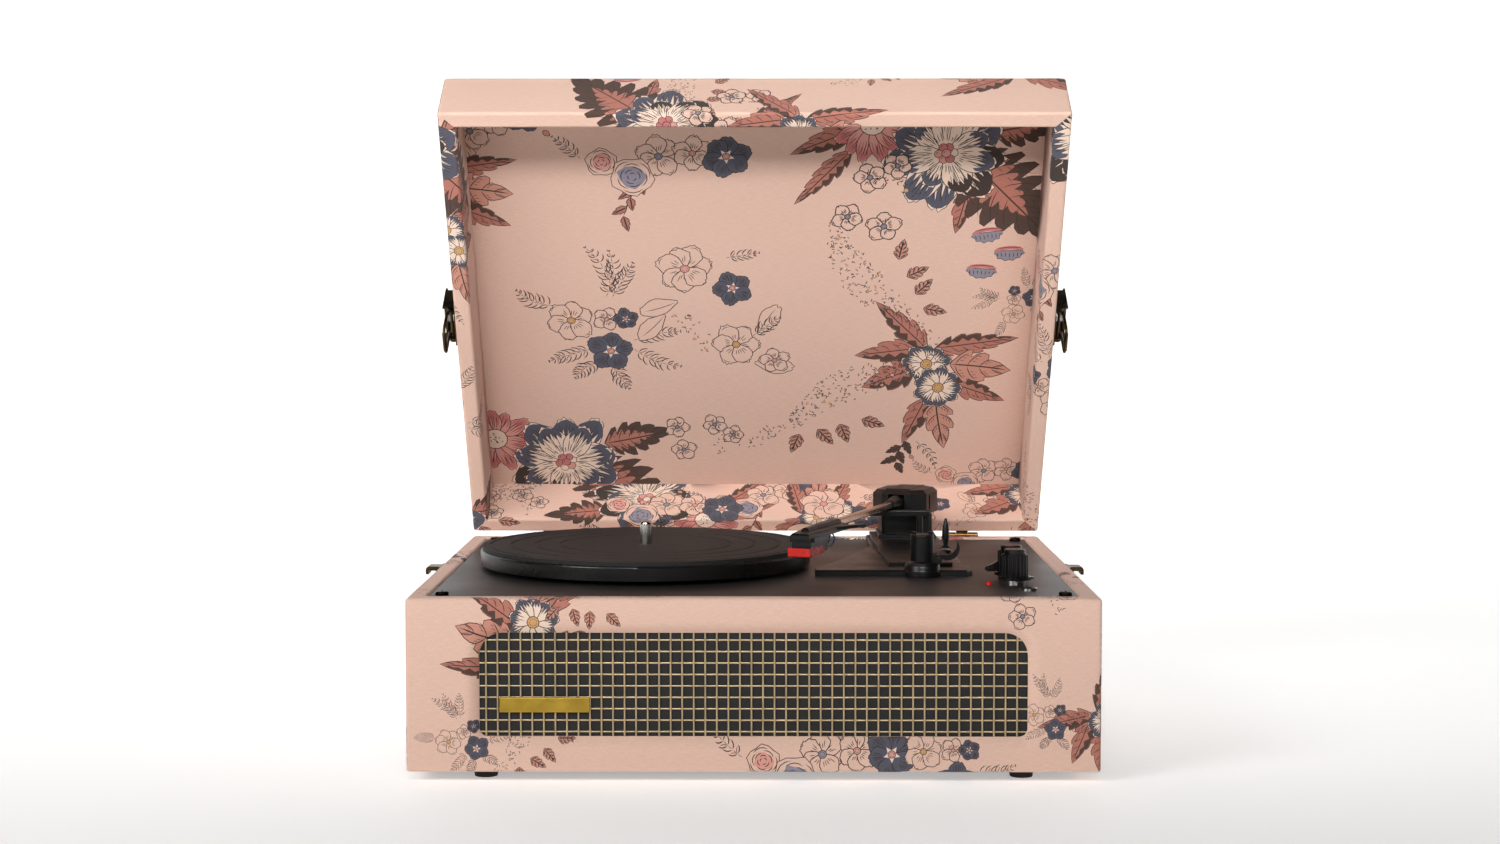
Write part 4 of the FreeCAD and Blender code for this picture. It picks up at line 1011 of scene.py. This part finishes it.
class Opening:
    """The rounded opening for the grille in the front board, in the board's own coordinates."""

    def __init__(self):
        self.half = OPEN_W / 2
        self.low = OPEN_LOW - FOOT_H
        self.high = OPEN_HIGH - FOOT_H

    def radius(self, up):
        return OPEN_TOP_R if up > (self.low + self.high) / 2 else OPEN_LOW_R

    def ring(self, out):
        """The opening's outline, pushed out by a distance."""
        made = []
        for sx, sz, start in ((1, 1, 0), (-1, 1, 90), (-1, -1, 180), (1, -1, 270)):
            r = OPEN_TOP_R if sz > 0 else OPEN_LOW_R
            edge = self.high - r if sz > 0 else self.low + r
            centre = complex(sx * (self.half - r), edge)
            made += [centre + cmath.rect(r + out, math.radians(start + 11.25 * k)) for k in range(9)]
        return made

    def distance(self, s, up):
        """How far a point lies outside the opening, and the direction away from it."""
        r = self.radius(up)
        middle = (self.low + self.high) / 2
        x = abs(s) - (self.half - r)
        z = abs(up - middle) - ((self.high - self.low) / 2 - r)
        away = Vector((math.copysign(max(x, 0), s), 0, math.copysign(max(z, 0), up - middle)))
        if away.length < 1e-9:
            return max(x, z) - r, Vector((0, 0, 0))
        return away.length - r, away.normalized()

    def bevelled(self, point, out):
        """Lets the cloth sink softly towards the grille."""
        far, away = self.distance(point.x, point.z)
        if not -0.05 <= far < BEVEL_W:
            return point, out
        left = 1 - clamp(far, 0, BEVEL_W) / BEVEL_W
        slope = 2 * BEVEL_D / BEVEL_W * left
        sunk = point + Vector((0, BEVEL_D * left * left, 0))
        return sunk, (Vector((0, -1, 0)) - away * slope).normalized()

    def pocket(self, spots, triangles, height):
        """Each edge of the cloth along the opening, with the direction that the pocket's wall faces."""
        count = {}
        for tri in triangles:
            for a, b in zip(tri, np.roll(tri, -1)):
                key = (min(int(a), int(b)), max(int(a), int(b)))
                count[key] = count.get(key, 0) + 1
        for (a, b), times in count.items():
            middle = (spots[a] + spots[b]) / 2
            far, away = self.distance(middle.real, middle.imag)
            if times == 1 and abs(far) < 0.3 and middle.imag < height:
                yield (a, b), -away


def box_axes(origin, along, inward, up):
    """The matrix from (along, inwards, up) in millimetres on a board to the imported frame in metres."""
    made = Matrix((along, inward, up)).transposed().to_4x4()
    made.translation = Vector(origin)
    to_metres = Matrix.Translation((0, FRONT_Y * MM, 0)) @ Matrix.Scale(MM, 4)
    return to_metres @ made


def base_covers():
    """The four printed walls of the base."""
    x, y, z = (1, 0, 0), (0, 1, 0), (0, 0, 1)
    minus_x, minus_y = (-1, 0, 0), (0, -1, 0)
    middle = CASE_L / 2
    sockets = [ring_of(r, 20, complex(-across, SOCKET_UP)) for across, r in SOCKETS]
    walls = (
        ("front", SIDE, box_axes((0, 0, FOOT_H), x, y, z), 11),
        ("right", middle, box_axes((SIDE, middle, FOOT_H), y, minus_x, z), 12),
        ("back", SIDE, box_axes((0, CASE_L, FOOT_H), minus_x, minus_y, z), 13),
        ("left", middle, box_axes((-SIDE, middle, FOOT_H), minus_y, x, z), 14),
    )
    for side, half, axes, seed in walls:
        name, node = "base_" + side + "_cloth", "base_" + side + "_board"
        spread = FRONT_PRINT if side == "front" else scatter(seed, 2 * half, BASE_H)
        opening = Opening() if side == "front" else None
        holes = sockets if side == "back" else ()
        cover = board_cover(name, half, BASE_H, printed(spread, seed), axes, "case", opening, holes)
        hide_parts(node)


def lid_covers():
    """The four printed walls and the panel of the lid, laid out shut and then swung open."""
    x, y, down = (1, 0, 0), (0, 1, 0), (0, 0, -1)
    minus_x, minus_y = (-1, 0, 0), (0, -1, 0)
    top = RIM + SEAM + LID_DEPTH
    middle = CASE_L / 2
    swing = lid_turn()
    walls = (
        ("front", SIDE, box_axes((0, 0, top), minus_x, y, down), 21),
        ("right", middle, box_axes((SIDE, middle, top), minus_y, minus_x, down), 22),
        ("back", SIDE, box_axes((0, CASE_L, top), x, minus_y, down), 23),
        ("left", middle, box_axes((-SIDE, middle, top), y, x, down), 24),
    )
    for side, half, axes, seed in walls:
        name, node = "lid_" + side + "_cloth", "lid_" + side + "_board"
        if side == "front":
            shapes = printed(LID_TOP_PRINT, seed, lambda p: complex(-p.real, LID_DEPTH - p.imag))
        elif side == "back":
            shift = complex(0, LID_DEPTH + WALL)
            shapes = printed(LID_LOW_PRINT, seed, lambda p: p + shift)
            shapes += printed(scatter(seed, 2 * half, 60), seed, lambda p: p + 10j)
        else:
            shapes = printed(LID_SIDE_PRINT[name], seed)
        cover = board_cover(name, half, LID_DEPTH, shapes, swing @ axes, "lid")
        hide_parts(node)
    lid_panel(swing, top)


def lid_panel(swing, top):
    """The lid's flat panel, with its own print on each face."""
    half = INNER_L / 2
    inner_axes = swing @ box_axes((0, CASE_L / 2, top - LID_PANEL_T), (1, 0, 0), (0, 0, 1), (0, -1, 0))
    outer_axes = swing @ box_axes((0, CASE_L / 2, top), (1, 0, 0), (0, 0, -1), (0, 1, 0))
    outline = [complex(sx * INNER, sy * half) for sx, sy in ((1, -1), (1, 1), (-1, 1), (-1, -1))]
    from_hinge = complex(0, -CASE_L / 2)
    inner_print = printed(LID_INNER_PRINT, 31, lambda p: p + from_hinge)
    outer_print = printed(scatter(32, CASE_W, CASE_L, 100.0), 32, lambda p: p + from_hinge)
    sheets = (("lid_lining", inner_axes, inner_print), ("lid_top_cloth", outer_axes, outer_print))
    for name, axes, shapes in sheets:
        spots, triangles, tints = cut_cloth(outline, (), (), shapes)
        points = [axes @ Vector((p.real, 0, p.imag)) for p in spots]
        turn = axes.to_3x3().normalized()
        normals = [turn @ Vector((0, -1, 0))] * len(points)
        extra = []
        deep = LID_PANEL_T * SKIN
        loops = [[Vector((p.real, deep, p.imag)) for p in outline[::-1]]]
        for a, b in zip(outline, outline[1:] + outline[:1]):
            loops.append([Vector((a.real, 0, a.imag)), Vector((a.real, deep, a.imag)),
                          Vector((b.real, deep, b.imag)), Vector((b.real, 0, b.imag))])
        for loop in loops:
            out = (loop[1] - loop[0]).cross(loop[2] - loop[1]).normalized()
            extra.append(tuple(range(len(points), len(points) + 4)))
            points += [axes @ p for p in loop]
            normals += [turn @ out] * 4
        cover = finish_cloth(name, spots, triangles, tints, points, normals, "lid", extra)
        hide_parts("lid_top_panel")


# ---------------------------------------------------------------- grille

def wire_mesh(points, faces, normals, start, stop, radius):
    """Adds a round wire between two points to lists of points, faces and normals."""
    sides = 8
    along = (stop - start).normalized()
    across = along.orthogonal().normalized()
    other = along.cross(across)
    first = len(points)
    for end in (start, stop):
        for k in range(sides):
            angle = 2 * math.pi * k / sides
            out = across * math.cos(angle) + other * math.sin(angle)
            points.append(end + out * radius)
            normals.append(out)
    for k in range(sides):
        after = (k + 1) % sides
        faces.append((first + k, first + after, first + sides + after, first + sides + k))
    faces.append(tuple(range(first + sides - 1, first - 1, -1)))
    faces.append(tuple(range(first + sides, first + 2 * sides)))


def grille_wires(look):
    """Upright wires welded across level ones, cut to the rounded opening."""
    opening = Opening()
    points, faces, normals = [], [], []
    heights = np.arange(opening.low - 1, opening.high + 1, 0.25)
    places = np.arange(-opening.half - 1, opening.half + 1, 0.25)
    count = int((OPEN_W - 7.0) / GRILLE_PITCH)
    for i in range(count + 1):
        x = GRILLE_FIRST_X + i * GRILLE_PITCH
        reach = [z for z in heights if opening.distance(x, z)[0] < WIRE_TUCK]
        if reach:
            low, high = place(x, UPRIGHT_Y, FOOT_H + reach[0]), place(x, UPRIGHT_Y, FOOT_H + reach[-1])
            wire_mesh(points, faces, normals, low, high, WIRE_R * MM)
    z = opening.high - GRILLE_FIRST_DOWN
    while z > opening.low:
        reach = [x for x in places if opening.distance(x, z)[0] < WIRE_TUCK]
        left, right = place(reach[0], LEVEL_Y, FOOT_H + z), place(reach[-1], LEVEL_Y, FOOT_H + z)
        wire_mesh(points, faces, normals, left, right, WIRE_R * MM)
        z -= GRILLE_PITCH
    piece = add_piece("grille_wires", points, faces, "case", normals)
    piece.data.materials.append(look)
    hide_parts("speaker_grille")


# ---------------------------------------------------------------- small parts

def arm_place(x, y, z):
    """A point laid out on a tonearm that points at -Y from its pivot, taken to where the arm plays."""
    turn = cmath.rect(1, math.radians(ARM_ANGLE))
    moved = complex(*PIVOT) + turn * complex(x, y)
    return place(moved.real, moved.imag, z)


def swept(points, faces, path, sizes, up, sides):
    """Adds a capped tube along a path in metres. sizes holds (across, upright) half-widths in millimetres."""
    first = len(points)
    for index, (at, (a, b)) in enumerate(zip(path, sizes)):
        way = path[min(index + 1, len(path) - 1)] - path[max(index - 1, 0)]
        across = way.cross(up).normalized()
        rise = across.cross(way).normalized()
        for k in range(sides):
            angle = 2 * math.pi * k / sides
            points.append(at + (across * a * math.cos(angle) + rise * b * math.sin(angle)) * MM)
    for ring in range(len(path) - 1):
        start = first + ring * sides
        for k in range(sides):
            after = (k + 1) % sides
            faces.append((start + k, start + after, start + sides + after, start + sides + k))
    last = first + (len(path) - 1) * sides
    faces.append(tuple(range(first + sides - 1, first - 1, -1)))
    faces.append(tuple(range(last, last + sides)))


def finished(name, points, faces, body, look, sharp=40):
    """A piece in one material, smooth except across its sharper edges."""
    piece = add_piece(name, points, faces, body)
    piece.data.validate()
    piece.data.set_sharp_from_angle(angle=math.radians(sharp))
    piece.data.materials.append(look)
    return piece


def arm_boot(look):
    """The round collar where the arm tube leaves its housing."""
    points, faces = [], []
    rings = ((-39.0, 2.5), (-38.4, 3.0), (-35.0, 3.3), (-30.0, 4.0), (-26.0, 4.7), (-24.0, 5.0), (-23.0, 4.8))
    path = [arm_place(0, y, ARM_Z) for y, _ in rings]
    swept(points, faces, path, [(r, r) for _, r in rings], Vector((0, 0, 1)), 28)
    finished("arm_boot", points, faces, "arm", look)


def lead_wires():
    """Four thin leads looping from the cartridge's pins into the arm tube."""
    for index, rgb in enumerate(LEAD_COLOURS):
        x = -2.6 + 1.75 * index
        knots = (
            (x, -181.5, 19.6), (1.15 * x, -177.0, 17.2), (1.5 * x, -171.5, 16.4), (1.6 * x, -166.0, 18.6),
            (1.2 * x, -163.0, 21.4), (0.6 * x, -164.5, 23.8),
        )
        path = [arm_place(a, b, RIM + c) for a, b, c in knots]
        smooth = []
        for k in range(len(path) - 1):
            before, after = path[max(k - 1, 0)], path[min(k + 2, len(path) - 1)]
            for u in (0.0, 0.25, 0.5, 0.75):
                a = 2 * path[k]
                b = path[k + 1] - before
                c = 2 * before - 5 * path[k] + 4 * path[k + 1] - after
                d = 3 * path[k] - before - 3 * path[k + 1] + after
                smooth.append((a + b * u + c * u * u + d * u ** 3) / 2)
        smooth.append(path[-1])
        points, faces = [], []
        swept(points, faces, smooth, [(LEAD_R, LEAD_R)] * len(smooth), Vector((1, 0, 0.1)), 8)
        look = moulded("lead_" + str(index), rgb, 0.4)
        finished("lead_wire_" + str(index + 1), points, faces, "arm", look)


def rest_foot(look):
    """The stepped round foot of the arm's rest post."""
    profile = (
        (11.0, -1.1), (11.2, -0.8), (11.2, 1.4), (10.9, 1.9), (10.2, 2.1), (10.0, 2.6), (9.9, 4.4),
        (9.5, 5.3), (8.7, 6.0), (7.4, 6.6), (6.7, 7.3),
    )
    points, faces = [], []
    path = [place(POST[0], POST[1], RIM + z) for _, z in profile]
    swept(points, faces, path, [(r, r) for r, _ in profile], Vector((0, 1, 0)), 48)
    finished("rest_foot", points, faces, "case", look, 30)


def cue_blade(look):
    """The leaf-shaped cueing lever on its round hub."""
    profile = (
        (0.0, 1.5, 1.4), (3.6, 1.3, 1.3), (5.4, 1.7, 1.9), (8.0, 2.2, 2.5), (11.0, 2.1, 2.3),
        (14.5, 1.7, 1.8), (17.2, 1.1, 1.2), (18.6, 0.7, 0.8), (19.0, 0.3, 0.3),
    )
    points, faces = [], []
    path = [place(LEVER[0], LEVER[1], LEVER_Z + z) for z, _, _ in profile]
    swept(points, faces, path, [(a, b) for _, a, b in profile], Vector((0, 1, 0)), 20)
    hub = [place(LEVER[0] + x, LEVER[1], LEVER_Z) for x in (-2.4, -2.2, 2.2, 2.4)]
    swept(points, faces, hub, [(2.3, 2.3), (2.6, 2.6), (2.6, 2.6), (2.3, 2.3)], Vector((0, 0, 1)), 24)
    piece = finished("cue_blade", points, faces, "cueing_lever", look)
    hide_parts("cue_lever")


def latch_loops(look):
    """The wire loops hanging from the latch levers, with a thicker bar across the end."""
    swing = lid_turn()
    corner = (
        (3.3, 0.0), (0.9, 0.0), (0.3, 0.25), (0.0, 0.9), (0.0, 20.6), (-0.4, 22.2), (-1.5, 23.2),
        (-2.7, 23.5),
    )
    legs = [(LOOP_HALF + a, b) for a, b in corner]
    outline = legs + [(-a, b) for a, b in legs[::-1]]
    sizes = [(1.3, 1.3) if drop == LOOP_DROP else (0.9, 0.9) for _, drop in outline]
    for side, name in ((-1, "left"), (1, "right")):
        path = []
        for along, drop in outline:
            spot = place(side * (SIDE + LOOP_OUT), CASE_L / 2 + along, RIM + SEAM + LOOP_UP - drop)
            path.append(swing @ spot)
        points, faces = [], []
        swept(points, faces, path, sizes, Vector((1, 0, 0)), 16)
        piece = finished(name + "_loop_wire", points, faces, name + "_loop", look)
        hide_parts(name + "_latch_loop")


def small_parts():
    """Details that the CAD pieces are too plain for."""
    black = moulded("gloss_black", BLACK, 0.32)
    arm_boot(black)
    lead_wires()
    rest_foot(black)
    cue_blade(black)
    latch_loops(metal("loop_brass", DARK_BRASS, 0.32, 0.5))


# ---------------------------------------------------------------- stage

def build_stage():
    """Pale floor and backdrop, soft lights and the camera."""
    look = Look("floor", (244, 243, 241), 0.8)
    look.shade(look.noise(even(3)), 0.985, 1.0)
    look.set("Emission Color", (1.0, 1.0, 1.0, 1.0))
    split = look.node("ShaderNodeSeparateXYZ")
    look.link(look.coordinates((1.0, 1.0, 1.0)), split.inputs["Vector"])
    glow = look.ranged(split.outputs["Y"], *FLOOR_GLOW, *GLOW_Y)
    look.link(glow, look.shader.inputs["Emission Strength"])
    points = []
    for i in range(25):
        if i < 8:
            y, z = -4.0 + 6.0 * i / 8, 0.0
        elif i < 18:
            angle = math.radians(90 * (i - 8) / 10)
            y, z = 2.0 + 1.5 * math.sin(angle), 1.5 - 1.5 * math.cos(angle)
        else:
            y, z = 3.5, 1.5 + 2.5 * (i - 17) / 7
        points += [Vector((-FLOOR_HALF_W, y, z)), Vector((FLOOR_HALF_W, y, z))]
    faces = [(2 * i, 2 * i + 1, 2 * i + 3, 2 * i + 2) for i in range(24)]
    mesh = bpy.data.meshes.new("backdrop")
    mesh.from_pydata([tuple(p) for p in points], [], faces)
    mesh.polygons.foreach_set("use_smooth", [True] * len(faces))
    mesh.materials.append(look.mat)
    floor = bpy.data.objects.new("backdrop", mesh)
    bpy.context.scene.collection.objects.link(floor)

    world = bpy.data.worlds.new("studio")
    bpy.context.scene.world = world
    world.use_nodes = True
    world.node_tree.nodes["Background"].inputs["Color"].default_value = (0.0, 0.0, 0.0, 1.0)
    for name, at, target, size, spread, power in LIGHTS:
        light = bpy.data.lights.new(name, "AREA")
        light.shape = "RECTANGLE"
        light.size, light.size_y = size
        light.energy = power
        light.spread = math.radians(spread)
        lamp = bpy.data.objects.new(name, light)
        bpy.context.scene.collection.objects.link(lamp)
        lamp.location = at
        lamp.rotation_euler = (Vector(target) - Vector(at)).to_track_quat("-Z", "Y").to_euler()

    camera = bpy.data.cameras.new("camera")
    camera.lens = LENS
    camera.sensor_width = 36.0
    holder = bpy.data.objects.new("camera", camera)
    holder.location = CAMERA_AT
    holder.rotation_euler = CAMERA_TURN
    bpy.context.scene.collection.objects.link(holder)
    bpy.context.scene.camera = holder
    bpy.context.scene.view_settings.view_transform = "Standard"


# ---------------------------------------------------------------- finishes of the CAD pieces

def node_looks():
    """The material of each CAD node that shows, by the record's material slot."""
    return {
        "board": moulded("lining_paper", (70, 58, 52), 0.85),
        "foot_rubber": rubber("foot_rubber", (20, 19, 19)),
        "screw_black": metal("screw_black", (30, 28, 28), 0.3),
        "screw_brass": metal("screw_brass", (150, 118, 66), 0.38),
        "deck_black": deck_coating(),
        "hinge_brass": metal("hinge_brass", (132, 100, 58), 0.36),
        "latch_brass": metal("latch_brass", DARK_BRASS, 0.32, 0.5),
        "grille_cloth": rubber("grille_cloth", (22, 20, 20)),
        "badge_gold": metal("badge_gold", (196, 162, 66), 0.34),
        "speaker_metal": metal("speaker_metal", (120, 120, 122), 0.4),
        "paper_cone": rubber("paper_cone", (40, 38, 36)),
        "platter_black": moulded("platter_black", (20, 18, 18), 0.3),
        "mat_rubber": rubber("mat_rubber", (24, 21, 21)),
        "spindle_steel": metal("spindle_steel", (210, 205, 198), 0.14, 0.1),
        "bearing_brass": metal("bearing_brass", (170, 138, 84), 0.3),
        "belt_rubber": rubber("belt_rubber", (26, 26, 26)),
        "motor_steel": metal("motor_steel", (170, 170, 170), 0.35),
        "knob_black": moulded("knob_black", BLACK, 0.24),
        "control_metal": metal("control_metal", (180, 180, 180), 0.3),
        "chrome_trim": metal("chrome_trim", (225, 225, 225), 0.12, 0.1),
        "lamp_red": moulded("lamp_red", (200, 26, 20), 0.2),
        "socket_metal": metal("socket_metal", (196, 190, 176), 0.24),
        "circuit_green": moulded("circuit_green", (40, 96, 58), 0.4),
        "arm_plastic": moulded("arm_plastic", (12, 11, 11), 0.36),
        # Arm tube: a light metal colour with a painted warm-brown reflection of the surrounding pink cloth mixed
        # into it
        "arm_metal": metal("arm_metal", (186, 168, 152), 0.17, 0.1),
        "stylus_red": moulded("stylus_red", (196, 26, 20), 0.25),
        "pin_steel": metal("pin_steel", (70, 68, 68), 0.25),
    }


def dress_nodes():
    """Gives every CAD node the finish of its slot."""
    looks = node_looks()
    slots = {part["node"]: part["material_slot"] for part in frame["record"]["subparts"]}
    for name, node in frame["nodes"].items():
        finish = looks.get(slots.get(name), looks["arm_plastic"])
        node.data.materials.clear()
        node.data.materials.append(finish)


cloth_materials()
base_covers()
lid_covers()
grille_wires(metal("grille_wire", (214, 190, 150), 0.34))
small_parts()
dress_nodes()
build_stage()
